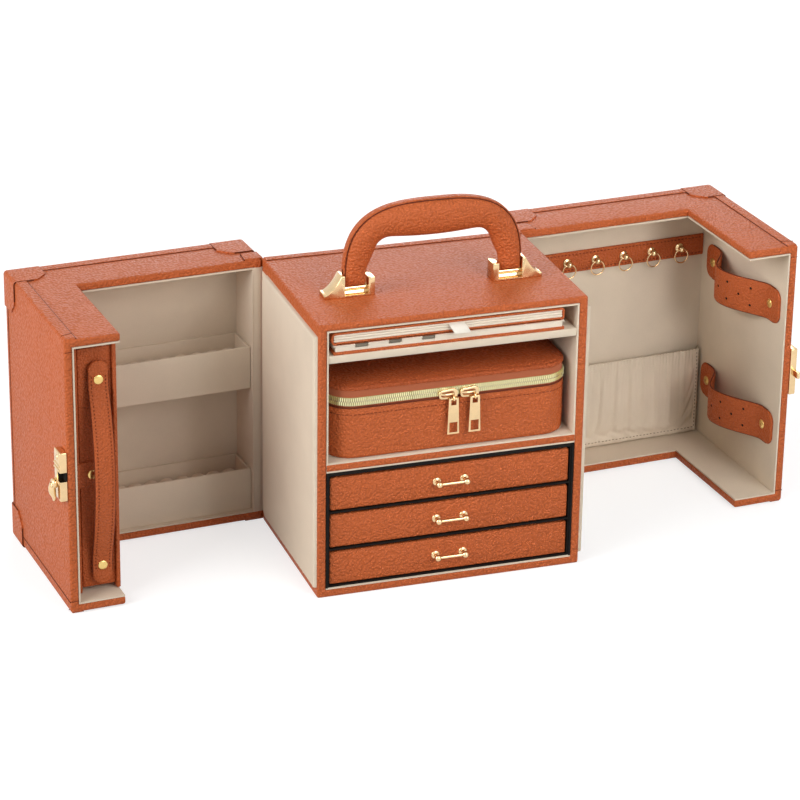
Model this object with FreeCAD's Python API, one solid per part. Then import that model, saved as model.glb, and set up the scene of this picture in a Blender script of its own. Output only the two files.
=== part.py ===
"""Leather jewellery case: a front-opening case with two L-shaped doors that wrap round its sides and front.

Millimetres. The origin is the middle of the case's base on the table, +Z is up and the drawers face -Y.
Each door is drawn in its own frame: u runs from the hinge along the case's side to the front, v points
outwards from the case's side, and z is up. The doors are placed at the angles at which they stand open.
"""
import FreeCAD, Part
import math
import os

V = FreeCAD.Vector
UP = V(0, 0, 1)

# Case
body_width = 200.0
body_depth = 138.0
body_height = 210.0
side_board = 6.5
top_board = 5.0
base_board = 6.0
back_board = 6.0
edge_bevel = 1.4
lining = 1.2
lining_setback = 0.4

# Levels inside the case
slot_height = 17.8
shelf_thickness = 5.8
divider_thickness = 5.0
shelf_setback = 0.8
insert_fit = 0.2

# Drawers and their housing
drawer_count = 3
housing_board = 1.2
housing_crown = 2.0
housing_setback = 1.2
drawer_front_height = 25.4
drawer_front_thickness = 5.0
drawer_front_setback = 2.2
drawer_front_edge = 0.9
drawer_lift = 0.4
drawer_head_gap = 2.0
drawer_side_gap = 0.6
drawer_wall = 2.0
drawer_box_height = 19.0
drawer_rear_gap = 2.0

# Small turned hardware
rod_sides = 16

# Drawer pulls
pull_span = 20.8
rosette_radius = 3.25
rosette_thickness = 1.0
post_radius = 1.3
pull_standoff = 6.0
knob_radius = 2.5
pull_bar_radius = 0.9

# Side pads
pad_thickness = 3.0
pad_inset = 8.5
pad_front_inset = 1.5
pad_clip = 5.0

# Carrying handle
handle_y = -18.0
handle_half_span = 65.6
handle_rise = 65.6
handle_power = 3.0
handle_foot = 7.9
handle_foot_bevel = 3.0
handle_leg_width = 15.8
handle_leg_lean = 6.0
handle_leg_straight = 10.0
handle_grip_height = 26.2
handle_gap_round = 11.0
handle_sag = 1.8
handle_leg_depth = 11.0
handle_grip_depth = 18.0
handle_edge_width = 10.0
handle_strip = 1.4
handle_stations = 16
pivot_height = 5.2
pin_radius = 2.2
pin_clearance = 0.05
pin_end_clearance = 0.8
pin_tongue = 2.4
pin_tongue_rise = 8.0
pin_tongue_inset = 3.2
bracket_depth = 12.0
bracket_base = 1.6
bracket_inner_post = 4.8
bracket_inner_rise = 13.6
bracket_outer_post = 2.4
bracket_outer_rise = 16.4
bracket_wing = 13.0
bracket_wing_toe = 3.2
bracket_bevel = 0.6
strip_start_rise = 19.6

# Doors
left_open_deg = 85.7
right_open_deg = 94.2
door_side_depth = 42.6
door_front_depth = 40.6
door_front_gap = 2.4
meeting_gap = 4.0
door_board = 6.0
rim_corner_round = 2.2
patch = 1.1
patch_reach = 28.0
patch_clip = 14.0
hinge_leaf = 14.0
hinge_leather = 1.0
hinge_flap = 13.0

# Ring trays in the left door
tray_wall = 2.0
tray_height = 33.0
tray_setback = 4.6
tray_wallet_gap = 4.6
tray_fit = 0.3
upper_tray_floor = 106.5
roll_pitch = 11.6
roll_drop = 9.8

# Book wallet in the left door
wallet_head_gap = 4.3
wallet_wall_gap = 2.6
wallet_rear_gap = 1.9
wallet_cover = 3.0
wallet_block_thickness = 25.4
wallet_overhang = 3.0
wallet_tip_recess = 12.5
wallet_wall = 2.5
wallet_fit = 0.5
carry_strap_width = 14.6
carry_strap_length = 170.0
carry_strap_thickness = 2.2
carry_strap_bow = 13.6
carry_strap_shift = 2.0
carry_strap_drop = 2.4
rivet_spacing = 142.5
rivet_radius = 3.6
rivet_head = 1.1
snap_tab_height = 19.0
snap_tab_length = 14.0
snap_tab_thickness = 1.6
snap_level = 99.6
snap_radius = 3.4

# Lock and hasp
lock_width = 13.0
lock_height = 37.0
lock_proud = 5.4
lock_level = 107.0
lock_slot_height = 7.0
lock_slot_depth = 7.0
lock_bevel = 0.8
lever_pivot_radius = 3.6
lever_pivot_rise = 3.4
lever_reach = 15.0
lever_toe_radius = 4.4
lever_thickness = 2.0
lever_gap = 0.3
tongue_length = 8.5
tongue_height = 5.0
tongue_thickness = 2.4

# Hook strip and rings in the right door
hook_count = 6
hook_pitch = 24.0
hook_end_gap = 21.6
hook_strip_level = 164.5
hook_strip_height = 17.0
hook_strip_thickness = 1.8
hook_strip_end = 11.0
stud_radius = 3.6
stud_base = 1.0
stud_eye_radius = 2.5
stud_eye_thickness = 2.2
stud_rise = 4.4
ring_radius = 5.6
ring_wire = 0.5
ring_sides = 24
ring_hole_clearance = 0.5

# Gathered pocket in the right door
pocket_height = 70.5
pocket_margin = 0.4
pocket_depth = 9.0
pocket_top_depth = 8.2
pocket_cloth = 1.2
pocket_gathers = 11
gather_height = 1.5
pocket_hem = 6.0

# Earring straps in the right door
upper_strap_level = 156.4
lower_strap_level = 57.5
strap_width = 27.0
strap_thickness = 2.0
strap_near_gap = 21.9
strap_far_gap = 24.6
strap_near_tab = 10.0
strap_far_tab = 17.0
strap_bow = 19.5
strap_corner = 7.0
strap_hole_radius = 0.9
strap_hole_spread = 6.8

# Zip pouch
pouch_front_setback = 2.6
pouch_side_gap = 2.2
pouch_rear_gap = 10.2
pouch_corner = 20.0
pouch_base_height = 38.4
pouch_bottom_bevel = 2.0
pouch_wall = 3.0
zip_band_height = 13.4
zip_band_inset = 0.8
zip_tape = 1.4
zip_teeth_height = 6.2
zip_teeth_drop = 2.2
zip_teeth_proud = 1.0
pouch_lid_height = 4.4
pouch_lid_bevel = 2.0
slider_spacing = 16.0
slider_drop = 1.6
slider_shift = 4.3
slider_length = 14.2
slider_height = 9.6
slider_plate = 1.8
slider_gap = 0.4
slider_loop_radius = 2.1
slider_loop_width = 3.0
zip_pull_length = 27.6
zip_pull_top_width = 7.3
zip_pull_foot_width = 9.2
zip_pull_thickness = 1.3
zip_pull_eye = 3.6
zip_pull_window = 8.5
zip_pull_bar = 1.3
zip_pull_shift = 3.5
zip_pull_drop = 3.2

# Folders in the top slot
folder_open_gap = 9.4
folder_rear_gap = 7.8
folder_setback = 1.5
folder_side_gap = 2.2
folder_fit = 0.3
upper_folder_thickness = 9.3
lower_folder_thickness = 7.0
folder_cover = 1.6
lower_folder_lid = 0.9
folder_page_inset = 1.5
page_setback = 0.4
notch_width = 9.8
notch_depth = 1.4
notch_drop = 1.8
notch_pitch = 24.6
first_notch = 14.3

# Worked-out places
half_width = body_width / 2
half_depth = body_depth / 2
front_y = -half_depth
inner_half = half_width - side_board - lining
inner_back = half_depth - back_board - lining
floor_z = base_board + lining
drawer_pitch = drawer_front_height + drawer_lift + drawer_head_gap + housing_board
housing_top = floor_z + housing_board + drawer_count * drawer_pitch + housing_crown
divider_base = housing_top + lining
divider_top = divider_base + divider_thickness
compartment_floor = divider_top + lining
slot_roof = body_height - top_board - lining
shelf_top = slot_roof - slot_height
shelf_base = shelf_top - shelf_thickness
door_base = patch
door_top = body_height - patch
door_length = body_depth + door_front_gap + door_front_depth
rim_u = door_length - door_front_depth
tip_v = -(half_width - meeting_gap / 2)
room_u = door_length - door_board - lining
room_v = door_side_depth - door_board - lining
room_base = door_base + door_board + lining
room_top = door_top - door_board - lining
hinge_y = half_depth
wallet_height = room_top - wallet_head_gap - room_base - wallet_fit
folder_width = 2 * inner_half - folder_side_gap - folder_open_gap
folder_depth = inner_back - folder_rear_gap - front_y - folder_setback
strap_rivet_near = room_v - strap_near_gap
strap_rivet_far = tip_v + strap_far_gap
strap_levels = (upper_strap_level, lower_strap_level)


def box(x0, x1, y0, y1, z0, z1):
    """A block between two corners."""
    return Part.makeBox(x1 - x0, y1 - y0, z1 - z0, V(x0, y0, z0))


def polygon(points):
    """A flat face through corner points."""
    return Part.Face(Part.makePolygon([V(*p) for p in points] + [V(*points[0])]))


def arc(a, b, c):
    """An edge from a through b to c."""
    return Part.Arc(V(*a), V(*b), V(*c)).toShape()


def line(a, b):
    """A straight edge."""
    return Part.makeLine(V(*a), V(*b))


def face(edges):
    """A flat face inside a closed chain of edges."""
    return Part.Face(Part.Wire(edges))


def cylinder(radius, start, end):
    """A round bar between two points."""
    axis = V(*end) - V(*start)
    return Part.makeCylinder(radius, axis.Length, V(*start), axis)


def rod(radius, start, end):
    """A small bar between two points, with enough flat sides to pass for round."""
    axis = V(*end) - V(*start)
    guide = UP if abs(axis.z) < 0.5 * axis.Length else V(1, 0, 0)
    across = axis.cross(guide).normalize()
    upward = axis.cross(across).normalize()
    corners = []
    for n in range(rod_sides):
        turn = 2 * math.pi * (n + 0.5) / rod_sides
        spoke = across * math.cos(turn) + upward * math.sin(turn)
        corners.append(V(*start) + spoke * radius)
    return polygon(corners).extrude(axis)


def softened(shape, width):
    """Every edge of a block taken off by a narrow bevel."""
    return shape.makeChamfer(width, shape.Edges)


def edges_along(shape, direction):
    """The straight edges that run along a direction."""
    found = []
    for edge in shape.Edges:
        run = edge.Vertexes[-1].Point - edge.Vertexes[0].Point
        if run.Length > 0 and abs(run.normalize().dot(direction)) > 0.999:
            found.append(edge)
    return found


def mirrored(shape):
    """The same shape on the other side of the case."""
    return shape.mirror(V(0, 0, 0), V(1, 0, 0))


def place(shape, side):
    """Moves a shape from a door's own frame to the door's open place."""
    opening = right_open_deg if side == "right" else left_open_deg
    moved = shape.copy()
    moved.rotate(V(0, 0, 0), UP, opening - 90)
    moved.translate(V(half_width, hinge_y, 0))
    return moved if side == "right" else mirrored(moved)


def save(name, solids):
    """Writes one node."""
    shape = solids[0] if len(solids) == 1 else Part.makeCompound(solids)
    shape.exportStep(f"parts/{name}.step")


def case_shell():
    """Five leather-wrapped boards round the open front."""
    blank = softened(box(-half_width, half_width, -half_depth, half_depth, 0, body_height), edge_bevel)
    inner = half_width - side_board
    wall_top = body_height - top_board
    top = box(-half_width, half_width, -half_depth, half_depth, wall_top, body_height)
    base = box(-half_width, half_width, -half_depth, half_depth, 0, base_board)
    right = box(inner, half_width, -half_depth, half_depth, base_board, wall_top)
    left = box(-half_width, -inner, -half_depth, half_depth, base_board, wall_top)
    back = box(-inner, inner, half_depth - back_board, half_depth, base_board, wall_top)
    return [blank.common(board) for board in (top, base, right, left, back)]


def case_lining():
    """Fabric-covered card on every inside face, and on both faces of the divider."""
    inner = half_width - side_board
    lip = front_y + lining_setback
    wall = half_depth - back_board
    roof = body_height - top_board
    cards = [
        box(-inner, inner, lip, wall, slot_roof, roof),
        box(-inner, inner, lip, wall, base_board, floor_z),
        box(inner_half, inner, lip, wall, floor_z, slot_roof),
        box(-inner, -inner_half, lip, wall, floor_z, slot_roof),
        box(-inner_half, inner_half, inner_back, wall, floor_z, slot_roof),
    ]
    for level in (housing_top, divider_top):
        cards.append(box(-inner_half, inner_half, lip, inner_back, level, level + lining))
    return cards


def slot_shelf():
    """The fabric-covered shelf under the folders."""
    return [box(-inner_half, inner_half, front_y + shelf_setback, inner_back, shelf_base, shelf_top)]


def compartment_divider():
    """The leather-fronted board between the pouch and the drawers."""
    return [box(-inner_half, inner_half, front_y, inner_back, divider_base, divider_top)]


def drawer_housing():
    """The black carcase: two sides, a back, a floor, a shelf over each drawer and the crown."""
    out = inner_half - insert_fit
    inside = out - housing_board
    lip = front_y + housing_setback
    rear = inner_back - insert_fit
    base = floor_z + housing_board
    boards = [
        box(inside, out, lip, rear, floor_z, housing_top),
        box(-out, -inside, lip, rear, floor_z, housing_top),
        box(-inside, inside, rear - housing_board, rear, floor_z, housing_top),
        box(-inside, inside, lip, rear - housing_board, floor_z, base),
    ]
    for n in range(1, drawer_count + 1):
        under = floor_z + n * drawer_pitch
        over = housing_top if n == drawer_count else under + housing_board
        boards.append(box(-inside, inside, lip, rear - housing_board, under, over))
    return boards


def drawer_floor(n):
    """Where drawer n, counted from the top, rests."""
    return floor_z + housing_board + (drawer_count - n) * drawer_pitch + drawer_lift


def drawer_front(n):
    """A leather-wrapped board with softened edges."""
    half = inner_half - insert_fit - housing_board - drawer_side_gap
    y = front_y + drawer_front_setback
    z = drawer_floor(n)
    board = box(-half, half, y, y + drawer_front_thickness, z, z + drawer_front_height)
    return [softened(board, drawer_front_edge)]


def drawer_box(n):
    """A tray behind the front: floor, two sides and a rear wall."""
    half = inner_half - insert_fit - housing_board - drawer_side_gap
    y0 = front_y + drawer_front_setback + drawer_front_thickness
    y1 = inner_back - insert_fit - housing_board - drawer_rear_gap
    z = drawer_floor(n)
    top = z + drawer_box_height
    return [
        box(-half, half, y0, y1, z, z + drawer_wall),
        box(half - drawer_wall, half, y0, y1, z + drawer_wall, top),
        box(-half, -half + drawer_wall, y0, y1, z + drawer_wall, top),
        box(-half + drawer_wall, half - drawer_wall, y1 - drawer_wall, y1, z + drawer_wall, top),
    ]


def drawer_pull(n):
    """Two turned posts, each with a rosette and a round button, joined by a bar."""
    y = front_y + drawer_front_setback
    z = drawer_floor(n) + drawer_front_height / 2
    half = pull_span / 2
    back = y - pull_standoff + knob_radius * 0.9
    pull = rod(pull_bar_radius, (-half, y - pull_standoff, z), (half, y - pull_standoff, z))
    for x in (-half, half):
        pull = pull.fuse(rod(rosette_radius, (x, y, z), (x, y - rosette_thickness, z)))
        pull = pull.fuse(rod(post_radius, (x, y, z), (x, back, z)))
        pull = pull.fuse(rod(knob_radius, (x, back, z), (x, back - knob_radius * 1.8, z)))
    return [pull]


def side_pads():
    """A raised fabric pad on each side of the case, which the door closes over."""
    y0 = front_y + pad_front_inset
    y1 = half_depth - pad_inset
    z0 = pad_inset
    z1 = body_height - pad_inset
    x = half_width
    outline = [
        (x, y0, z0),
        (x, y1 - pad_clip, z0),
        (x, y1, z0 + pad_clip),
        (x, y1, z1 - pad_clip),
        (x, y1 - pad_clip, z1),
        (x, y0, z1),
    ]
    pad = polygon(outline).extrude(V(pad_thickness, 0, 0))
    rim = [e for e in pad.Edges if all(p.Point.x > x + pad_thickness / 2 for p in e.Vertexes)]
    pad = pad.makeFillet(pad_thickness / 2, rim)
    return [mirrored(pad), pad]


def handle_outline():
    """Points at even steps along the handle's outer edge, from the right leg over to the left."""
    steps = 60
    points = []
    for n in range(steps + 1):
        c = math.cos(math.pi * n / steps)
        s = abs(math.sin(math.pi * n / steps))
        x = math.copysign(handle_half_span * abs(c) ** (2 / handle_power), c)
        z = handle_foot + (handle_rise - handle_foot) * s ** (2 / handle_power)
        points.append(V(x, handle_y, body_height + z))
    curve = Part.BSplineCurve()
    curve.interpolate(points)
    return curve.toShape().discretize(Number=handle_stations + 1)


def handle_opening():
    """Points at even steps round the hand gap, whose sides lean inwards and whose top sags at the middle."""
    foot_half = handle_half_span - handle_leg_width
    half = foot_half - handle_leg_lean
    top = body_height + handle_rise - handle_grip_height + handle_sag
    foot = body_height + handle_foot
    knee = foot + handle_leg_straight
    r = handle_gap_round
    turn = r * (1 - math.sqrt(0.5))
    y = handle_y
    edges = [
        line((foot_half, y, foot), (foot_half, y, knee)),
        line((foot_half, y, knee), (half, y, top - r)),
        arc((half, y, top - r), (half - turn, y, top - turn), (half - r, y, top)),
        arc((half - r, y, top), (0, y, top - handle_sag), (r - half, y, top)),
        arc((r - half, y, top), (turn - half, y, top - turn), (-half, y, top - r)),
        line((-half, y, top - r), (-foot_half, y, knee)),
        line((-foot_half, y, knee), (-foot_half, y, foot)),
    ]
    return Part.Wire(edges).discretize(Number=handle_stations + 1)


def handle_section(start, end, share):
    """A D-shaped wire across the handle: flat at its outer edge and round at the hand side."""
    lift = math.sin(math.pi * share) ** 2
    depth = handle_leg_depth + (handle_grip_depth - handle_leg_depth) * lift

    def at(across, along):
        p = start + (end - start) * along
        return V(p.x, p.y + across, p.z)

    flat = handle_edge_width / 2
    widest = depth / 2
    flank = [(flat, 0), (widest * 0.9, 0.16), (widest, 0.4), (widest * 0.9, 0.66), (widest * 0.62, 0.88)]
    corners = [at(-a, b) for a, b in flank] + [at(-widest * 0.22, 1), at(widest * 0.22, 1)]
    corners += [at(a, b) for a, b in flank[::-1]]
    return Part.makePolygon(corners + corners[:1])


def leg_limits():
    """How far each handle leg reaches across its bracket."""
    return handle_half_span - handle_leg_width, handle_half_span


def handle_grip():
    """The padded grip, with bevelled feet that are slotted for the pins' tongues."""
    wires = []
    for n, (start, end) in enumerate(zip(handle_outline(), handle_opening())):
        wires.append(handle_section(start, end, n / handle_stations))
    grip = Part.makeLoft(wires, True, True)
    foot = body_height + handle_foot
    outer = handle_leg_depth
    reach = handle_half_span + 1
    for sign in (1, -1):
        corner = [
            (-reach, handle_y + sign * (handle_leg_depth / 2 - handle_foot_bevel * 0.7), foot - 0.01),
            (-reach, handle_y + sign * outer, foot - 0.01),
            (-reach, handle_y + sign * outer, foot + handle_foot_bevel),
            (-reach, handle_y + sign * handle_leg_depth / 2, foot + handle_foot_bevel),
        ]
        grip = grip.cut(polygon(corner).extrude(V(2 * reach, 0, 0)))
    slot = pin_tongue_box()
    return [grip.cut(slot).cut(mirrored(slot))]


def handle_edge_strip(grip):
    """The sewn leather edge that stands along the outside of the arch."""
    wires = []
    for start, end in zip(handle_outline(), handle_opening()):
        away = (start - end).normalize()
        side = V(0, handle_edge_width / 2, 0)
        root = start - away * handle_strip
        top = start + away * handle_strip
        wires.append(Part.makePolygon([root - side, root + side, top + side, top - side, root - side]))
    strip = Part.makeLoft(wires, True, True)
    if strip.Volume < 0:
        strip.reverse()
    clear = body_height + strip_start_rise
    reach = handle_half_span + handle_grip_height
    above = box(-reach, reach, handle_y - reach, handle_y + reach, clear, clear + 2 * handle_rise)
    return [strip.common(above).cut(grip)]


def handle_brackets():
    """A bracket at each leg: a base, a short inner post and an outer post with a swept wing."""
    near, far = leg_limits()
    x1 = near - pin_end_clearance
    x0 = x1 - bracket_inner_post
    x2 = far + pin_end_clearance
    x3 = x2 + bracket_outer_post
    x4 = x3 + bracket_wing
    y = handle_y - bracket_depth / 2
    z = body_height

    def at(x, rise):
        return (x, y, z + rise)

    drop = bracket_outer_rise - bracket_wing_toe
    middle = at(x3 + bracket_wing * 0.42, bracket_wing_toe + drop * 0.34)
    profile = face([
        line(at(x0, 0), at(x4, 0)),
        line(at(x4, 0), at(x4, bracket_wing_toe)),
        arc(at(x4, bracket_wing_toe), middle, at(x3, bracket_outer_rise)),
        line(at(x3, bracket_outer_rise), at(x2, bracket_outer_rise)),
        line(at(x2, bracket_outer_rise), at(x2, bracket_base)),
        line(at(x2, bracket_base), at(x1, bracket_base)),
        line(at(x1, bracket_base), at(x1, bracket_inner_rise)),
        line(at(x1, bracket_inner_rise), at(x0, bracket_inner_rise)),
        line(at(x0, bracket_inner_rise), at(x0, 0)),
    ])
    bracket = profile.extrude(V(0, bracket_depth, 0))
    post_edges = [e for e in edges_along(bracket, V(0, 1, 0)) if e.BoundBox.ZMin > z + bracket_base + 1]
    bracket = bracket.makeChamfer(bracket_bevel, post_edges)
    for ends in pin_ends():
        bracket = bracket.cut(cylinder(pin_radius + pin_clearance, *ends))
    return [bracket, mirrored(bracket)]


def pin_ends():
    """The right-hand pin's two ends, sunk in both posts."""
    near, far = leg_limits()
    sunk = bracket_outer_post * 0.75
    z = body_height + pivot_height
    start = (near - pin_end_clearance - bracket_inner_post, handle_y, z)
    return [(start, (far + pin_end_clearance + sunk, handle_y, z))]


def pin_tongue_box():
    """The flat tongue that stands on the right-hand pin and is held in the leg."""
    near, far = leg_limits()
    z = body_height + pivot_height
    y = handle_y - pin_tongue / 2
    top = body_height + handle_foot + pin_tongue_rise
    return box(near + pin_tongue_inset, far - pin_tongue_inset, y, y + pin_tongue, z, top)


def handle_pins():
    """A pin under each handle leg that turns in the bracket, with its tongue."""
    pins = [cylinder(pin_radius, *ends).fuse(pin_tongue_box()) for ends in pin_ends()]
    return pins + [mirrored(pin) for pin in pins]


def door_blank():
    """The door's outside: an L in plan with softened edges."""
    z = door_base
    outline = [
        (0, 0, z),
        (0, door_side_depth, z),
        (door_length, door_side_depth, z),
        (door_length, tip_v, z),
        (rim_u, tip_v, z),
        (rim_u, 0, z),
    ]
    blank = polygon(outline).extrude(V(0, 0, door_top - door_base))
    inner = []
    for edge in edges_along(blank, UP):
        p = edge.Vertexes[0].Point
        if abs(p.x - rim_u) < 0.01 and abs(p.y) < 0.01:
            inner.append(edge)
    blank = blank.makeFillet(rim_corner_round, inner)
    convex = []
    for edge in blank.Edges:
        if edge in inner:
            continue
        flat = abs(edge.Vertexes[0].Point.z - edge.Vertexes[-1].Point.z) < 0.01
        p = edge.CenterOfMass
        at_round = abs(p.x - rim_u) < rim_corner_round * 1.01 and abs(p.y) < rim_corner_round * 1.01
        if flat or not at_round:
            convex.append(edge)
    return blank.makeChamfer(edge_bevel, convex)


def door_walls(blank):
    """The side, front and rear boards."""
    z0 = door_base + door_board
    z1 = door_top - door_board
    depth = door_side_depth
    side = box(0, door_length, depth - door_board, depth, z0, z1)
    front = box(door_length - door_board, door_length, tip_v, depth - door_board, z0, z1)
    rear = box(0, door_board, 0, depth - door_board, z0, z1)
    return [blank.common(board) for board in (side, front, rear)]


def door_ledges(blank):
    """The top and bottom boards, each of a side arm and a front arm."""
    ledges = []
    for z0, z1 in ((door_base, door_base + door_board), (door_top - door_board, door_top)):
        seam = rim_u - rim_corner_round
        ledges.append(blank.common(box(0, seam, 0, door_side_depth, z0, z1)))
        ledges.append(blank.common(box(seam, door_length, tip_v, door_side_depth, z0, z1)))
    return ledges


def door_lining():
    """Fabric-covered card on every inside face of a door."""
    lip = lining_setback
    side_v = door_side_depth - door_board
    front_u = door_length - door_board
    z0 = door_base + door_board
    z1 = door_top - door_board
    cards = [
        box(door_board, front_u, room_v, side_v, z0, z1),
        box(room_u, front_u, tip_v + lip, room_v, z0, z1),
        box(door_board, door_board + lining, lip, room_v, z0, z1),
    ]
    arm_u = rim_u + lip
    for low, high in ((z0, room_base), (room_top, z1)):
        cards.append(box(door_board + lining, arm_u, lip, room_v, low, high))
        cards.append(box(arm_u, room_u, tip_v + lip, room_v, low, high))
    return cards


def door_corners(blank):
    """Leather caps folded over the door's outer corners, with clipped flaps."""
    caps = []
    middle = (door_base + door_top) / 2
    for u, inward in ((0, 1), (door_length, -1)):
        u0, u1 = sorted((u - inward * patch, u + inward * patch_reach))
        v1 = door_side_depth + patch
        v0 = door_side_depth - patch_reach
        z0 = door_top - patch_reach
        cap = box(u0, u1, v0, v1, z0, door_top + patch)
        outer = [
            e for e in cap.Edges
            if sum((
                abs(e.CenterOfMass.x - (u - inward * patch)) < 0.01,
                abs(e.CenterOfMass.y - v1) < 0.01,
                abs(e.CenterOfMass.z - door_top - patch) < 0.01,
            )) == 2
        ]
        cap = cap.makeChamfer(edge_bevel + patch * 0.6, outer).cut(blank)
        far = u + inward * patch_reach
        clip = patch_clip
        top = [(far, v0, z0), (far, v0 + clip, z0), (far - inward * clip, v0, z0)]
        side = [(far, v0, z0), (far, v0, z0 + clip), (far - inward * clip, v0, z0)]
        end = [(far, v0, z0), (far, v0 + clip, z0), (far, v0, z0 + clip)]
        cap = cap.cut(polygon(top).extrude(V(0, 0, 2 * patch_reach)))
        cap = cap.cut(polygon(side).extrude(V(0, 2 * patch_reach, 0)))
        cap = cap.cut(polygon(end).extrude(V(-inward * 2 * patch_reach, 0, 0)))
        caps += [cap, cap.mirror(V(0, 0, middle), UP)]
    return caps


def hinge_strip(side):
    """A leather strip glued to the case's back and to the door's rear board, with a flap on each ledge."""
    sign = 1 if side == "right" else -1
    x0, x1 = sorted((sign * half_width, sign * (half_width - hinge_leaf)))
    y = half_depth
    back_leaf = box(x0, x1, y, y + hinge_leather, door_base, door_top)
    reach = hinge_leaf
    door_leaf = box(-hinge_leather, 0, 0, reach, door_base - hinge_leather, door_top + hinge_leather)
    lips = edge_bevel
    flap = polygon([
        (-hinge_leather, lips, door_top),
        (hinge_flap, lips, door_top),
        (hinge_flap - lips, reach, door_top),
        (-hinge_leather, reach, door_top),
    ]).extrude(V(0, 0, hinge_leather))
    middle = V(0, 0, (door_base + door_top) / 2)
    strip = place(door_leaf.fuse(flap).fuse(flap.mirror(middle, UP)), side).fuse(back_leaf)
    return [strip.removeSplitter()]


def tray_levels():
    """The floors of the upper and lower ring trays."""
    return upper_tray_floor, room_base


def tray_limits():
    """A ring tray's ends, front and back, in the door's frame."""
    u0 = door_board + lining + tray_fit
    return u0, wallet_inner_face() - tray_wallet_gap, tray_setback, room_v


def ring_trays():
    """Two open trays of fabric-covered card: a floor and four walls each."""
    u0, u1, v0, v1 = tray_limits()
    solids = []
    for z in tray_levels():
        floor = z + tray_wall
        top = z + tray_height
        solids += [
            box(u0, u1, v0, v1, z, floor),
            box(u0, u1, v0, v0 + tray_wall, floor, top),
            box(u0, u1, v1 - tray_wall, v1, floor, top),
            box(u0, u0 + tray_wall, v0 + tray_wall, v1 - tray_wall, floor, top),
            box(u1 - tray_wall, u1, v0 + tray_wall, v1 - tray_wall, floor, top),
        ]
    return [place(s, "left") for s in solids]


def ring_rolls():
    """A ribbed foam cushion in each tray, whose rolls grip rings between them."""
    u0, u1, v0, v1 = tray_limits()
    u0, u1 = u0 + tray_wall + tray_fit, u1 - tray_wall - tray_fit
    v0, v1 = v0 + tray_wall + tray_fit, v1 - tray_wall - tray_fit
    count = int((u1 - u0) / roll_pitch)
    pitch = (u1 - u0) / count
    cushions = []
    for z in tray_levels():
        base = z + tray_wall
        top = z + tray_height - roll_drop
        valley = top - pitch * 0.42
        chain = []
        for n in range(count):
            a = u0 + n * pitch
            chain.append(arc((a, v0, valley), (a + pitch / 2, v0, top), (a + pitch, v0, valley)))
        chain += [
            line((u1, v0, valley), (u1, v0, base)),
            line((u1, v0, base), (u0, v0, base)),
            line((u0, v0, base), (u0, v0, valley)),
        ]
        cushions.append(face(chain).extrude(V(0, v1 - v0, 0)))
    return [place(s, "left") for s in cushions]


def wallet_limits():
    """The wallet's outer cover face, tip edge, rear edge and base, in the left door's frame."""
    out_u = room_u - wallet_wall_gap
    return out_u, tip_v + wallet_tip_recess, room_v - wallet_rear_gap, room_base + wallet_fit


def wallet_inner_face():
    """The inner cover's face, which looks at the ring trays."""
    return room_u - wallet_wall_gap - 2 * wallet_cover - wallet_block_thickness


def wallet_covers():
    """The two stiff covers."""
    out_u, v0, v1, z0 = wallet_limits()
    z1 = z0 + wallet_height
    in_u = wallet_inner_face()
    boards = [
        box(out_u - wallet_cover, out_u, v0, v1, z0, z1),
        box(in_u, in_u + wallet_cover, v0, v1, z0, z1),
    ]
    return [place(softened(board, wallet_cover * 0.3), "left") for board in boards]


def wallet_box():
    """The block between the covers: a hollow frame of four walls, set back from the covers' edges."""
    out_u, v0, v1, z0 = wallet_limits()
    u1 = out_u - wallet_cover
    u0 = u1 - wallet_block_thickness
    v0 += wallet_overhang
    z1 = z0 + wallet_height - wallet_overhang
    z0 += wallet_overhang
    wall = wallet_wall
    v1 -= wallet_overhang
    walls = [
        box(u0, u1, v0, v0 + wall, z0, z1),
        box(u0, u1, v1 - wall, v1, z0, z1),
        box(u0, u1, v0 + wall, v1 - wall, z0, z0 + wall),
        box(u0, u1, v0 + wall, v1 - wall, z1 - wall, z1),
    ]
    return [place(s, "left") for s in walls]


def carry_strap_place():
    """The carrying strap's middle across the block, its back face and its middle height."""
    out_u, v0, v1, z0 = wallet_limits()
    mid_u = out_u - wallet_cover - wallet_block_thickness / 2 - carry_strap_shift
    return mid_u, v0 + wallet_overhang, z0 + wallet_height / 2 - carry_strap_drop


def rounded_bar(width, length, corner, thickness):
    """A flat bar with round corners, along Z, centred on the origin, its thickness along Y."""
    bar = box(-width / 2, width / 2, 0, thickness, -length / 2, length / 2)
    return bar.makeFillet(corner, edges_along(bar, V(0, 1, 0)))


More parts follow.
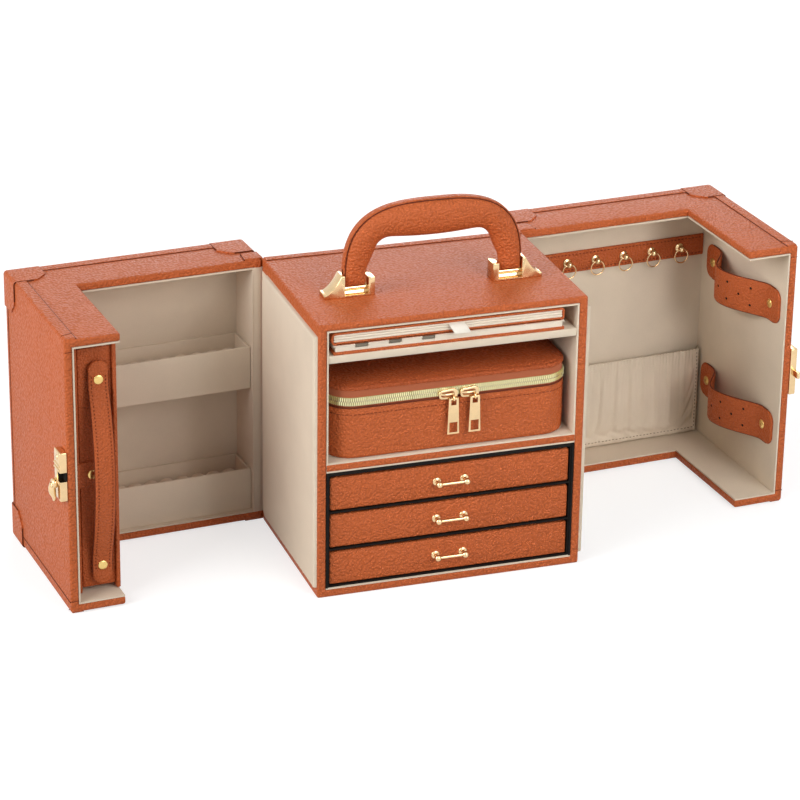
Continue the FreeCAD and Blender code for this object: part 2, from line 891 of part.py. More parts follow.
def wallet_straps():
    """The bowed carrying strap, and the tab of the snap that holds the cover shut."""
    mid_u, back_v, mid_z = carry_strap_place()
    half = rivet_spacing / 2 - rivet_radius * 2
    end = carry_strap_length / 2
    t = carry_strap_thickness
    tab = snap_tab_thickness + wallet_fit
    foot = -tab
    lift = -carry_strap_bow

    def inner(z, v):
        return (0, v, z)

    profile = face([
        line(inner(-end, foot), inner(-half, foot)),
        arc(inner(-half, foot), inner(0, lift), inner(half, foot)),
        line(inner(half, foot), inner(end, foot)),
        line(inner(end, foot), inner(end, foot - t)),
        line(inner(end, foot - t), inner(half, foot - t)),
        arc(inner(half, foot - t), inner(0, lift - t), inner(-half, foot - t)),
        line(inner(-half, foot - t), inner(-end, foot - t)),
        line(inner(-end, foot - t), inner(-end, foot)),
    ])
    width = carry_strap_width
    strap = profile.extrude(V(width, 0, 0))
    strap.translate(V(-width / 2, 0, 0))
    ends = rounded_bar(width, carry_strap_length, width * 0.45, carry_strap_bow * 4)
    ends.translate(V(0, -carry_strap_bow * 2, 0))
    strap = strap.common(ends)
    strap.translate(V(mid_u, back_v, mid_z))
    spacers = []
    for sign in (1, -1):
        z = mid_z + sign * rivet_spacing / 2
        spacers.append(rod(rivet_radius, (mid_u, back_v, z), (mid_u, back_v + foot, z)))
    out_u, v0, v1, z0 = wallet_limits()
    low = snap_level - snap_tab_height / 2
    u1 = out_u - wallet_cover
    snap_tab = box(u1 - snap_tab_length, u1, back_v - snap_tab_thickness, back_v, low, low + snap_tab_height)
    return [place(s, "left") for s in (strap.fuse(spacers[0]).fuse(spacers[1]), snap_tab)]


def rivet(radius, start, direction):
    """A flat rivet head on a point."""
    return rod(radius, start, V(*start) + V(*direction) * rivet_head)


def wallet_rivets():
    """Two flat rivets on the strap and the stud of the snap."""
    mid_u, back_v, mid_z = carry_strap_place()
    top_v = back_v - snap_tab_thickness - wallet_fit - carry_strap_thickness
    heads = []
    for sign in (1, -1):
        z = mid_z + sign * rivet_spacing / 2
        heads.append(rivet(rivet_radius, (mid_u, top_v, z), (0, -1, 0)))
    out_u = wallet_limits()[0]
    snap_u = out_u - wallet_cover - snap_tab_length + snap_radius * 1.4
    face_v = back_v - snap_tab_thickness
    heads.append(rivet(snap_radius, (snap_u, face_v, snap_level), (0, -1, 0)))
    return [place(s, "left") for s in heads]


def lock_limits():
    """The lock's faces and ends, in a door's frame."""
    u0 = door_length
    return u0, u0 + lock_proud, tip_v, tip_v + lock_width


def lock_case():
    """The lock's body at the left door's tip, with a slot for the hasp's tongue."""
    u0, u1, v0, v1 = lock_limits()
    half = lock_height / 2
    body = box(u0, u1, v0, v1, lock_level - half, lock_level + half)
    body = body.makeChamfer(lock_bevel, [e for e in body.Edges if e.BoundBox.XMax > u0 + lock_bevel])
    slot = lock_slot_height / 2
    cut = box(u0 - 1, u1 + 1, v0 - 1, v0 + lock_slot_depth, lock_level - slot, lock_level + slot)
    return [place(body.cut(cut), "left")]


def lever_axis():
    """The middle of the lever's pivot on the lock's face, in the left door's frame."""
    u0, u1, v0, v1 = lock_limits()
    return u1, v1 - lever_pivot_radius - lock_bevel, lock_level - lock_slot_height


def lock_lever():
    """The thumb lever: a round boss with a curved toe that hangs below it."""
    u, v, z = lever_axis()
    u += lever_gap
    boss = rod(lever_pivot_radius, (u, v, z), (u + lever_pivot_rise, v, z))
    toe_z = z - lever_reach + lever_toe_radius
    w = lever_pivot_radius * 0.8
    u2 = u + lever_thickness
    rise = lever_pivot_rise + lever_thickness
    profile = face([
        line((u, v, z), (u + lever_pivot_rise, v, z)),
        arc((u + lever_pivot_rise, v, z), (u + rise, v, toe_z + lever_toe_radius), (u2, v, toe_z - w)),
        line((u2, v, toe_z - w), (u, v, toe_z - w)),
        line((u, v, toe_z - w), (u, v, z)),
    ])
    arm = profile.extrude(V(0, 2 * w, 0))
    arm.translate(V(0, -w, 0))
    lever = boss.fuse(arm).removeSplitter()
    return [place(lever, "left")]


def hasp_plate():
    """The lock's other half at the right door's tip, with the tongue that enters the slot."""
    u0, u1, v0, v1 = lock_limits()
    half = lock_height / 2
    body = box(u0, u1, v0, v1, lock_level - half, lock_level + half)
    body = body.makeChamfer(lock_bevel, [e for e in body.Edges if e.BoundBox.XMax > u0 + lock_bevel])
    mid = (u0 + u1) / 2
    low = lock_level - tongue_height / 2
    t = tongue_thickness / 2
    tongue = box(mid - t, mid + t, v0 - tongue_length, v0 + lock_bevel, low, low + tongue_height)
    return [place(body.fuse(tongue).removeSplitter(), "right")]


def hook_places():
    """The hooks' places along the right door's side."""
    last = room_u - hook_end_gap
    return [last - n * hook_pitch for n in range(hook_count)][::-1]


def hook_strip():
    """The stitched leather strip that carries the hooks."""
    u0 = hook_places()[0] - hook_strip_end
    u1 = room_u - insert_fit
    z = hook_strip_level - hook_strip_height / 2
    v0 = room_v - hook_strip_thickness
    return [place(box(u0, u1, v0, room_v, z, z + hook_strip_height), "right")]


def bead_place(u):
    """The middle of a stud's drilled eye."""
    return u, room_v - hook_strip_thickness - stud_rise, hook_strip_level


def hook_studs():
    """Studs: a disc on the strip with an upright eye that is drilled for its ring."""
    studs = []
    for u in hook_places():
        bu, bv, bz = bead_place(u)
        v = room_v - hook_strip_thickness
        r = stud_eye_radius
        t = stud_eye_thickness
        disc = rod(stud_radius, (u, v, bz), (u, v - stud_base, bz))
        eye = face([
            line((u - t / 2, v, bz + r), (u - t / 2, v, bz - r)),
            line((u - t / 2, v, bz - r), (u - t / 2, bv, bz - r)),
            arc((u - t / 2, bv, bz - r), (u - t / 2, bv - r, bz), (u - t / 2, bv, bz + r)),
            line((u - t / 2, bv, bz + r), (u - t / 2, v, bz + r)),
        ]).extrude(V(t, 0, 0))
        stud = disc.fuse(eye).cut(rod(ring_wire + ring_hole_clearance, (u - r, bv, bz), (u + r, bv, bz)))
        studs.append(place(stud, "right"))
    return studs


def hook_ring(u):
    """A wire ring that hangs in its stud's eye, bent from short straights."""
    bu, bv, bz = bead_place(u)
    hoops = []
    for radius in (ring_radius + ring_wire, ring_radius - ring_wire):
        corners = []
        for n in range(ring_sides):
            turn = 2 * math.pi * (n + 0.5) / ring_sides
            x = bu + radius * math.sin(turn)
            corners.append((x, bv - ring_wire, bz - ring_radius + radius * math.cos(turn)))
        hoops.append(polygon(corners).extrude(V(0, 2 * ring_wire, 0)))
    return [place(hoops[0].cut(hoops[1]), "right")]


def gathered_pocket():
    """A cloth pocket on the right door's side, gathered along its elastic hem and sewn down round its edge."""
    u0 = door_board + lining + pocket_margin
    u1 = room_u - pocket_margin
    z0 = room_base + insert_fit
    z1 = z0 + pocket_height
    pitch = (u1 - u0 - 2 * pocket_cloth) / pocket_gathers

    def section(z, depth, ripple):
        v = room_v - depth
        a = u0 + pocket_cloth
        chain = []
        for n in range(pocket_gathers):
            bends = [(0, 0), (0.3, 0.85), (0.5, 1), (0.7, 0.85), (1, 0)]
            points = [(a + (n + along) * pitch, v - up * ripple, z) for along, up in bends]
            chain += [line(p, q) for p, q in zip(points, points[1:])]
        end = a + pocket_gathers * pitch
        back = v + pocket_cloth
        chain += [
            line((end, v, z), (end, back, z)),
            line((end, back, z), (a, back, z)),
            line((a, back, z), (a, v, z)),
        ]
        return Part.Wire(chain)

    waist = z1 - pocket_hem
    foot = section(z0, pocket_depth, gather_height * 0.4)
    throat = section(waist, pocket_top_depth, gather_height)
    hem = section(z1, pocket_top_depth, gather_height * 0.6)
    cloth = Part.makeLoft([foot, throat, hem], True, True)
    v0 = room_v - pocket_top_depth
    edges = [
        box(u0, u0 + pocket_cloth, v0, room_v, z0, z1),
        box(u1 - pocket_cloth, u1, v0, room_v, z0, z1),
        box(u0 + pocket_cloth, u1 - pocket_cloth, room_v - pocket_depth + pocket_cloth, room_v, z0, z0 + pocket_cloth),
    ]
    return [place(s, "right") for s in [cloth] + edges]


def strap_profile(level):
    """The strap's bowed thickness in plan, carried through its height at a level."""
    near0 = strap_rivet_near + strap_near_tab
    near1 = strap_rivet_near - strap_near_tab * 0.6
    far1 = strap_rivet_far
    far0 = strap_rivet_far - strap_far_tab
    crest = near1 - strap_bow * 1.7
    fall = (crest + far1) / 2

    def chain(offset):
        base = room_u - offset
        high = base - strap_bow
        return [
            ((base, near0, level), (base, near1, level), None),
            ((base, near1, level), (high, crest, level), (base - strap_bow * 0.62, near1 - strap_bow * 0.5, level)),
            ((high, crest, level), (base, far1, level), (base - strap_bow * 0.62, fall, level)),
            ((base, far1, level), (base, far0, level), None),
        ]

    def edge(a, b, via):
        return line(a, b) if via is None else arc(a, via, b)

    def back(a, b, via):
        return line(b, a) if via is None else arc(b, via, a)

    inner = chain(0)
    outer = chain(strap_thickness)
    edges = [edge(*part) for part in inner]
    edges.append(line(inner[-1][1], outer[-1][1]))
    edges += [back(*part) for part in outer[::-1]]
    edges.append(line(outer[0][0], inner[0][0]))
    return face(edges)


def strap_hole_places():
    """Six holes along the strap, one and two by turns."""
    span = strap_rivet_near - strap_rivet_far
    places = []
    for n, share in enumerate((0.52, 0.63, 0.74, 0.84)):
        v = strap_rivet_near - span * share
        rows = (0,) if n % 2 == 0 else (-strap_hole_spread, strap_hole_spread)
        places += [(v, row) for row in rows]
    return places


def punch(v, z):
    """An eight-sided punch through an earring strap."""
    corners = []
    for n in range(8):
        turn = math.pi * (n + 0.5) / 4
        corner_v = v + strap_hole_radius * math.cos(turn)
        corners.append((room_u + 1, corner_v, z + strap_hole_radius * math.sin(turn)))
    return polygon(corners).extrude(V(-3 * strap_bow, 0, 0))


def earring_straps():
    """Two bowed leather straps across the right door's front, punched for earrings."""
    straps = []
    length = strap_rivet_near + strap_near_tab - strap_rivet_far + strap_far_tab
    mid_v = (strap_rivet_near + strap_near_tab + strap_rivet_far - strap_far_tab) / 2
    for level in strap_levels:
        low = level - strap_width / 2
        strap = strap_profile(low).extrude(V(0, 0, strap_width))
        ends = rounded_bar(strap_width, length, strap_corner, strap_bow * 4)
        ends.rotate(V(0, 0, 0), V(0, 1, 0), 90)
        ends.rotate(V(0, 0, 0), UP, 90)
        ends.translate(V(room_u + strap_bow * 2, mid_v, level))
        strap = strap.common(ends)
        for v, row in strap_hole_places():
            strap = strap.cut(punch(v, level + row))
        straps.append(place(strap, "right"))
    return straps


def earring_rivets():
    """Two rivets on each earring strap."""
    heads = []
    for level in strap_levels:
        for v in (strap_rivet_near, strap_rivet_far - rivet_radius):
            start = (room_u - strap_thickness, v, level)
            heads.append(place(rivet(rivet_radius, start, (-1, 0, 0)), "right"))
    return heads


def pouch_outline(inset):
    """The pouch's plan with round corners, set in all round."""
    half = inner_half - pouch_side_gap - inset
    y0 = front_y + pouch_front_setback + inset
    y1 = inner_back - pouch_rear_gap - inset
    return half, y0, y1, pouch_corner - inset


def pouch_block(inset, z0, z1):
    """A round-cornered block of the pouch's plan."""
    half, y0, y1, corner = pouch_outline(inset)
    block = box(-half, half, y0, y1, z0, z1)
    return block.makeFillet(corner, edges_along(block, UP))


def rim_edges(shape, z):
    """The edges that lie at a height."""
    return [e for e in shape.Edges if abs(e.BoundBox.ZMin - z) < 0.01 and abs(e.BoundBox.ZMax - z) < 0.01]


def pouch_base():
    """The leather tub of the pouch."""
    z0 = compartment_floor
    z1 = z0 + pouch_base_height
    tub = pouch_block(0, z0, z1)
    tub = tub.makeChamfer(pouch_bottom_bevel, rim_edges(tub, z0))
    hollow = pouch_block(pouch_wall, z0 + pouch_wall, z1 + 1)
    return [tub.cut(hollow)]


def zip_base():
    """The height at which the zip's band starts."""
    return compartment_floor + pouch_base_height


def pouch_zip():
    """The zip's cloth band with its closed row of teeth standing proud."""
    z0 = zip_base()
    z1 = z0 + zip_band_height
    inside = zip_band_inset + zip_tape
    band = pouch_block(zip_band_inset, z0, z1)
    teeth_z = z0 + zip_teeth_drop
    teeth = pouch_block(zip_band_inset - zip_teeth_proud, teeth_z, teeth_z + zip_teeth_height)
    hollow = pouch_block(inside, z0 - 1, z1 + 1)
    return [band.fuse(teeth).cut(hollow).removeSplitter()]


def pouch_lid():
    """The pouch's top panel with its rounded bead."""
    z0 = zip_base() + zip_band_height
    z1 = z0 + pouch_lid_height
    lid = pouch_block(0, z0, z1)
    lid = lid.makeChamfer(pouch_lid_bevel, rim_edges(lid, z1))
    return [lid.makeChamfer(pouch_lid_bevel / 2, rim_edges(lid, z0))]


def slider_middle(side):
    """The middle of a zip slider along X, and the height of the teeth's middle."""
    sign = 1 if side == "right" else -1
    z = zip_base() + zip_teeth_drop + zip_teeth_height / 2 - slider_drop
    return slider_shift + sign * slider_spacing / 2, z


def slider_back():
    """The face of a slider that runs over the teeth."""
    return front_y + pouch_front_setback + zip_band_inset - zip_teeth_proud - slider_gap


def pull_pivot(side):
    """The axis on which a zip pull swings."""
    x, z = slider_middle(side)
    return x + zip_pull_shift, slider_back() - slider_plate - slider_loop_radius * 0.55, z - zip_pull_drop


def zip_slider(side):
    """A slider: a shield-shaped plate over the teeth, with a loop for its pull."""
    x, z = slider_middle(side)
    y = slider_back()
    a = slider_length / 2
    b = slider_height / 2
    plate = face([
        line((x - a, y, z - b * 0.7), (x - a, y, z + b * 0.7)),
        arc((x - a, y, z + b * 0.7), (x, y, z + b), (x + a, y, z + b * 0.55)),
        line((x + a, y, z + b * 0.55), (x + a, y, z - b * 0.55)),
        arc((x + a, y, z - b * 0.55), (x, y, z - b), (x - a, y, z - b * 0.7)),
    ]).extrude(V(0, -slider_plate, 0))
    px, py, pz = pull_pivot(side)
    w = slider_loop_width / 2
    loop = rod(slider_loop_radius, (px - w, py, pz), (px + w, py, pz))
    eye = zip_pull_bar / 2 + slider_gap
    slider = plate.fuse(loop).cut(rod(eye, (px - a, py, pz), (px + a, py, pz)))
    return [slider.removeSplitter()]


def zip_pull(side):
    """A flat tapered pull with an eye for the loop at its head and a window at its foot."""
    x, y, z = pull_pivot(side)
    t = zip_pull_thickness
    top = z + zip_pull_bar / 2
    foot = top - zip_pull_length
    a = zip_pull_top_width / 2
    b = zip_pull_foot_width / 2
    blade = polygon([
        (x - a, y - t / 2, top),
        (x + a, y - t / 2, top),
        (x + b, y - t / 2, foot),
        (x - b, y - t / 2, foot),
    ]).extrude(V(0, t, 0))
    half_eye = slider_loop_width / 2 + slider_gap
    eye_foot = top - zip_pull_bar - zip_pull_eye
    eye = box(x - half_eye, x + half_eye, y - t, y + t, eye_foot, top - zip_pull_bar)
    rim = zip_pull_bar
    window = box(x - b + rim + 0.2, x + b - rim - 0.2, y - t, y + t, foot + rim, foot + rim + zip_pull_window)
    bar = rod(zip_pull_bar / 2, (x - a, y, z), (x + a, y, z))
    slot = box(x - half_eye, x + half_eye, y - t, y + t, top - zip_pull_bar, top + 1)
    return [blade.cut(eye).cut(window).cut(slot).fuse(bar).removeSplitter()]


def folder_left():
    """The folders' left edge: they are pushed against the slot's left wall."""
    return -inner_half + folder_side_gap


def upper_folder_cover():
    """A leather cover folded round its pages with a rounded spine at the left."""
    x0 = folder_left()
    x1 = x0 + folder_width
    y = front_y + folder_setback
    z0 = shelf_top + lower_folder_thickness + folder_fit
    t = upper_folder_thickness
    c = folder_cover
    mid = z0 + t / 2
    r = t / 2
    profile = face([
        line((x1, y, z0), (x0 + r, y, z0)),
        arc((x0 + r, y, z0), (x0, y, mid), (x0 + r, y, z0 + t)),
        line((x0 + r, y, z0 + t), (x1, y, z0 + t)),
        line((x1, y, z0 + t), (x1, y, z0 + t - c)),
        line((x1, y, z0 + t - c), (x0 + r, y, z0 + t - c)),
        arc((x0 + r, y, z0 + t - c), (x0 + c, y, mid), (x0 + r, y, z0 + c)),
        line((x0 + r, y, z0 + c), (x1, y, z0 + c)),
        line((x1, y, z0 + c), (x1, y, z0)),
    ])
    return [profile.extrude(V(0, folder_depth, 0))]


def upper_folder_pages():
    """The padded fabric leaves inside the cover: three leaves, rounded towards the spine."""
    c = folder_cover
    x0 = folder_left() + upper_folder_thickness / 2
    x1 = folder_left() + folder_width - folder_page_inset
    y0 = front_y + folder_setback + page_setback
    y1 = front_y + folder_setback + folder_depth - folder_page_inset
    z0 = shelf_top + lower_folder_thickness + folder_fit + c
    leaf = (upper_folder_thickness - 2 * c) / 3
    return [box(x0, x1, y0, y1, z0 + n * leaf, z0 + (n + 1) * leaf) for n in range(3)]


def lower_folder_cover():
    """The leather base and lid of the lower folder."""
    x0 = folder_left() + folder_page_inset
    x1 = folder_left() + folder_width
    y0 = front_y + folder_setback
    y1 = y0 + folder_depth
    top = shelf_top + lower_folder_thickness
    base = box(x0, x1, y0, y1, shelf_top, shelf_top + folder_cover)
    lid = box(x0, x1, y0, y1, top - lower_folder_lid, top)
    return [base, lid]


def lower_folder_tray():
    """The fabric block of the lower folder, with finger notches along its front."""
    x0 = folder_left() + 2 * folder_page_inset
    x1 = folder_left() + folder_width - folder_page_inset
    y0 = front_y + folder_setback + page_setback
    y1 = front_y + folder_setback + folder_depth - folder_page_inset
    top = shelf_top + lower_folder_thickness - lower_folder_lid
    block = box(x0, x1, y0, y1, shelf_top + folder_cover, top)
    for n in range(3):
        a = x0 + first_notch + n * notch_pitch
        block = block.cut(box(a, a + notch_width, y0 - 1, y0 + notch_depth, top - notch_drop, top + 1))
    return [block]


os.makedirs("parts", exist_ok=True)

save("case_shell", case_shell())
save("case_lining", case_lining())
save("slot_shelf", slot_shelf())
save("compartment_divider", compartment_divider())
save("drawer_housing", drawer_housing())
save("side_pads", side_pads())
save("handle_brackets", handle_brackets())
save("handle_pins", handle_pins())
handle = handle_grip()
save("handle_grip", handle)
save("handle_edge_strip", handle_edge_strip(handle[0]))

for number in range(1, drawer_count + 1):
    save(f"drawer_{number}_box", drawer_box(number))
    save(f"drawer_{number}_front", drawer_front(number))
    save(f"drawer_{number}_pull", drawer_pull(number))

door = door_blank()
for name in ("left", "right"):
    save(f"{name}_door_walls", [place(s, name) for s in door_walls(door)])
    save(f"{name}_door_ledges", [place(s, name) for s in door_ledges(door)])
    save(f"{name}_door_lining", [place(s, name) for s in door_lining()])
    save(f"{name}_door_corners", [place(s, name) for s in door_corners(door)])
    save(f"{name}_hinge_strip", hinge_strip(name))
    save(f"pouch_slider_{name}", zip_slider(name))
    save(f"pouch_pull_{name}", zip_pull(name))

save("ring_trays", ring_trays())
save("ring_rolls", ring_rolls())
save("wallet_covers", wallet_covers())
save("wallet_box", wallet_box())
save("wallet_straps", wallet_straps())
save("wallet_rivets", wallet_rivets())
save("lock_case", lock_case())
save("lock_lever", lock_lever())

save("hasp_plate", hasp_plate())
save("hook_strip", hook_strip())
save("hook_studs", hook_studs())
for number, hook_u in enumerate(hook_places(), 1):
    save(f"hook_ring_{number}", hook_ring(hook_u))
save("gathered_pocket", gathered_pocket())
save("earring_straps", earring_straps())
save("earring_rivets", earring_rivets())

save("pouch_base", pouch_base())
save("pouch_zip", pouch_zip())
save("pouch_lid", pouch_lid())
save("upper_folder_cover", upper_folder_cover())
save("upper_folder_pages", upper_folder_pages())
save("lower_folder_cover", lower_folder_cover())
save("lower_folder_tray", lower_folder_tray())
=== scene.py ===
"""Leather jewellery case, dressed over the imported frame.

Lengths are millimetres until a piece is made, and each door's pieces are drawn in the door's own frame:
u runs from the hinge along the case's side, v points outwards from the case's side, and z is up.
"""
import bisect
import bmesh
import bpy
import math
from mathutils import Matrix, Vector


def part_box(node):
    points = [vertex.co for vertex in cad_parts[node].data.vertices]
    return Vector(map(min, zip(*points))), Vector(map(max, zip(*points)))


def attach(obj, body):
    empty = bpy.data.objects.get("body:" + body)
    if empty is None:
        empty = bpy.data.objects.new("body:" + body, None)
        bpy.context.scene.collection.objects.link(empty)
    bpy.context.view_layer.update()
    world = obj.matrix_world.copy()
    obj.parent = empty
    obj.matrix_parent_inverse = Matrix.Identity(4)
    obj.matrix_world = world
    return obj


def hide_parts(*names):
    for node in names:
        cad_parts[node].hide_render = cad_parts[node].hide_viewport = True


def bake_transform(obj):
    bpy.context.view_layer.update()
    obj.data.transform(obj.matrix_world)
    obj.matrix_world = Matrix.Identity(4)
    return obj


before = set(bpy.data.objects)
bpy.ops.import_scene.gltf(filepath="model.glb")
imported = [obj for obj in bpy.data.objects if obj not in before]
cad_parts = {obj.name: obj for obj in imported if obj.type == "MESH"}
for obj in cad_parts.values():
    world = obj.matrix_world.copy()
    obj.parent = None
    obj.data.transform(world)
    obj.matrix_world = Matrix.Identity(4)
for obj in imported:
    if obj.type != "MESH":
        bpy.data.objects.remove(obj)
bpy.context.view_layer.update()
MM = 0.001


def limits(node):
    """A node's limits along x, y and z, in millimetres."""
    low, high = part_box(node)
    return [(low[n] / MM, high[n] / MM) for n in range(3)]


# Case
half_width, half_depth, body_height = (high for _, high in limits("case_shell"))
side_board = 6.5
top_board = 5.0
base_board = 6.0
board_round = 1.7
wrap = 0.7
back_wrap_width = 6.8
back_wrap_sunk = 0.6
lip_setback = 0.15
band_depth = 2.0
lip_depth = 1.0
pad_clip = 5.0
pad_profile = ((0, 0), (0, 0.55), (0.35, 0.8), (1.1, 0.94), (3, 1.0), (9, 1.1), (22, 1.16), (40, 1.18))
pull_half = 10.4
pull_stand = 6.0
pull_knob = 2.55
pull_bar = 1.1
pull_post = ((3.2, -0.2), (3.25, 0.35), (3.05, 0.75), (2.2, 1.05), (1.5, 1.3), (1.25, 2.0), (1.25, 4.2))

# Doors
left_open_deg = 85.7
right_open_deg = 94.2
door_low = 1.1
door_high = body_height - door_low
door_length = 181.0
door_side_depth = 42.6
rim_u = 140.4
tip_v = -98.0
door_board = 6.0
lining = 1.2
room_u = door_length - door_board - lining
room_v = door_side_depth - door_board - lining
room_base = door_low + door_board + lining
ledge_wrap_width = 9.0
ledge_wrap_inset = 0.9
patch = 1.1
patch_reach = 28.0
patch_clip = 14.0
patch_trim = 2.9
hinge_leaf = 14.0
hinge_flap = 13.0
hinge_leather = 1.0
hinge_cloth = 0.35
rim_clearance = 0.2
hinge_bend = 2.0
hinge_inside = (
    (-hinge_leaf, 0), (-9, 0), (-6, 0), (-4, 0), (-2.5, 0), (-1.4, 0.2), (-0.6, 0.7), (-0.25, 1.6),
    (-0.1, 2.8), (-0.1, 4.5), (-0.1, 7), (-0.1, 10), (-0.1, hinge_leaf),
)
hinge_outside = (
    (-hinge_leaf, 1), (-9, 1), (-6, 1), (-4, 1), (-3, 1.05), (-2.2, 1.3), (-1.5, 1.9), (-1.15, 2.8),
    (-1.05, 3.6), (-1.05, 5), (-1.05, 7.2), (-1.05, 10), (-1.05, hinge_leaf),
)
edge_seam_inset = 6.2
foot_seam_rise = 8.0
tip_seam_rise = 9.0
seam_under_cap = 3.5

# Handle
handle_y = -18.0
handle_half_span = 65.6
handle_rise = 65.6
handle_power = 3.0
handle_foot = 7.9
handle_foot_half = 3.4
handle_leg_width = 15.8
handle_leg_lean = 6.0
handle_leg_straight = 10.0
handle_grip_height = 26.2
handle_gap_round = 11.0
handle_sag = 1.8
handle_leg_depth = 11.0
handle_grip_depth = 18.0
handle_strip_half = 2.9
handle_strip = 1.4
handle_stations = 72
handle_shares = (0, 0.02, 0.05, 0.09, 0.15, 0.24, 0.34, 0.46, 0.58, 0.7, 0.8, 0.88, 0.94, 0.98, 1)
handle_belly = 0.42
strip_section = ((-1, -0.9), (-1, 0.5), (-0.93, 0.85), (-0.8, 1), (0.8, 1), (0.93, 0.85), (1, 0.5), (1, -0.9))
strip_start_rise = 19.6
seam_start_rise = 11.0

# Brackets, from the handle's leg outwards
bracket_depth = 12.0
bracket_base = 1.6
bracket_inner_post = 4.8
bracket_inner_rise = 13.6
bracket_outer_post = 2.4
bracket_outer_rise = 16.4
bracket_wing = 13.0
bracket_wing_toe = 3.2
pin_end_clearance = 0.8

# Thread: the pitch, length and radius of the common stitch and of three finer kinds
stitch_pitch = 3.0
stitch_length = 2.1
stitch_radius = 0.3
wallet_stitch = (2.6, 1.6, 0.34)
hook_stitch = (3.0, 1.9, 0.36)
pocket_stitch = (3.0, 1.8, 0.34)
stitch_inset = 2.2


# Materials

grain_wander = 0.4


def add(tree, kind, values=(), **settings):
    """A shader node with its settings, and values for its sockets by name."""
    node = tree.nodes.new("ShaderNode" + kind)
    for key, value in settings.items():
        setattr(node, key, value)
    for socket, value in dict(values).items():
        if isinstance(value, bpy.types.NodeSocket):
            tree.links.new(value, node.inputs[socket])
        else:
            node.inputs[socket].default_value = value
    return node


class Surface:
    """A principled material whose tone, roughness and relief come from textures in the object's own space."""

    def __init__(self, name, **constants):
        """Takes the constants that hold all over the surface, by their sockets' names."""
        self.material = bpy.data.materials.new(name)
        self.material.use_nodes = True
        self.tree = self.material.node_tree
        self.bsdf = self.tree.nodes["Principled BSDF"]
        for socket, value in constants.items():
            self.bsdf.inputs[socket.replace("_", " ")].default_value = value
        self.place = add(self.tree, "TexCoord").outputs["Object"]

    def noise(self, scale, detail, roughness=0.5):
        """A noise texture's outputs."""
        values = {"Vector": self.place, "Scale": scale, "Detail": detail, "Roughness": roughness}
        return add(self.tree, "TexNoise", values).outputs

    def cells(self, size, place):
        """The distance from the middle of the nearest of many cells of a size."""
        values = {"Vector": place, "Scale": 1 / (size * MM)}
        return add(self.tree, "TexVoronoi", values, feature="F1").outputs["Distance"]

    def ramp(self, source, stops, colour=(1, 1, 1)):
        """Shades of a colour over a source, from pairs of place and level."""
        node = add(self.tree, "ValToRGB", {"Fac": source})
        elements = node.color_ramp.elements
        while len(elements) < len(stops):
            elements.new(0.5)
        for element, (place, level) in zip(elements, stops):
            element.position = place
            element.color = (*(c * level for c in colour), 1)
        return node.outputs["Color"]

    def mix(self, share, first, second, blend="MIX"):
        """Two colours laid over each other."""
        values = {0: share, 6: first, 7: second}
        return add(self.tree, "Mix", values, data_type="RGBA", blend_type=blend).outputs[2]

    def finish(self, tone, rough, height, relief, depth):
        """The material, with its tone, its roughness, and a bump of a depth in millimetres."""
        bump = add(self.tree, "Bump", {"Height": height, "Strength": relief, "Distance": depth * MM})
        sources = {"Base Color": tone, "Roughness": rough, "Normal": bump.outputs["Normal"]}
        for socket, source in sources.items():
            self.tree.links.new(source, self.bsdf.inputs[socket])
        return self.material


def leather(name, colour, cell=1.9, relief=1.0, shine=0.4):
    """Pebbled leather: rounded grains between fine creases, worn lighter and smoother on the tops."""
    skin = Surface(name, Specular_IOR_Level=0.26)
    bend = (grain_wander * MM,) * 3
    shift = add(skin.tree, "VectorMath", {0: skin.noise(900, 2)["Color"], 1: bend}, operation="MULTIPLY")
    bent = add(skin.tree, "VectorMath", {0: skin.place, 1: shift.outputs["Vector"]}, operation="ADD")
    grain = skin.cells(cell, bent.outputs["Vector"])
    pebble = skin.ramp(grain, [(0, 1), (0.3, 0.88), (0.55, 0.45), (0.8, 0)])
    blotch = skin.ramp(skin.noise(26, 5, 0.62)["Fac"], [(0.28, 0.97), (0.5, 1), (0.74, 1.03)], colour)
    crease = skin.ramp(grain, [(0.1, 1.02), (0.5, 1), (0.85, 0.9)])
    gloss = skin.ramp(grain, [(0.1, shine - 0.06), (0.75, shine + 0.22)])
    height = skin.mix(0.16, pebble, skin.noise(2600, 3)["Color"])
    return skin.finish(skin.mix(1, blotch, crease, "MULTIPLY"), gloss, height, relief, 0.8)


def cloth(name, colour, nap=0.6, relief=0.3, sheen=0.1):
    """Fine napped lining: short fibres over a close weave, with faint cloudy changes of tone."""
    lint = Surface(name, Sheen_Weight=sheen, Sheen_Roughness=0.5, Specular_IOR_Level=0.15)
    fibre = lint.noise(1.6 / (nap * MM), 4, 0.7)
    cloud = lint.ramp(lint.noise(34, 4)["Fac"], [(0.3, 0.965), (0.7, 1.03)], colour)
    speck = lint.ramp(fibre["Fac"], [(0.3, 0.95), (0.7, 1.04)])
    rough = lint.ramp(fibre["Fac"], [(0.3, 0.78), (0.7, 0.92)])
    weave = lint.ramp(lint.cells(nap, lint.place), [(0, 1), (0.8, 0)])
    height = lint.mix(0.5, weave, fibre["Color"])
    return lint.finish(lint.mix(1, cloud, speck, "MULTIPLY"), rough, height, relief, 0.2)


def metal(name, colour, shine=0.16):
    """Polished plated metal with faint cloudiness and hairline polish marks."""
    plate = Surface(name, Metallic=1.0)
    cloud = plate.noise(160, 4)["Fac"]
    tone = plate.ramp(cloud, [(0.3, 0.93), (0.7, 1.04)], colour)
    rough = plate.ramp(cloud, [(0.3, shine - 0.04), (0.75, shine + 0.07)])
    return plate.finish(tone, rough, plate.noise(1800, 3)["Fac"], 0.05, 0.1)


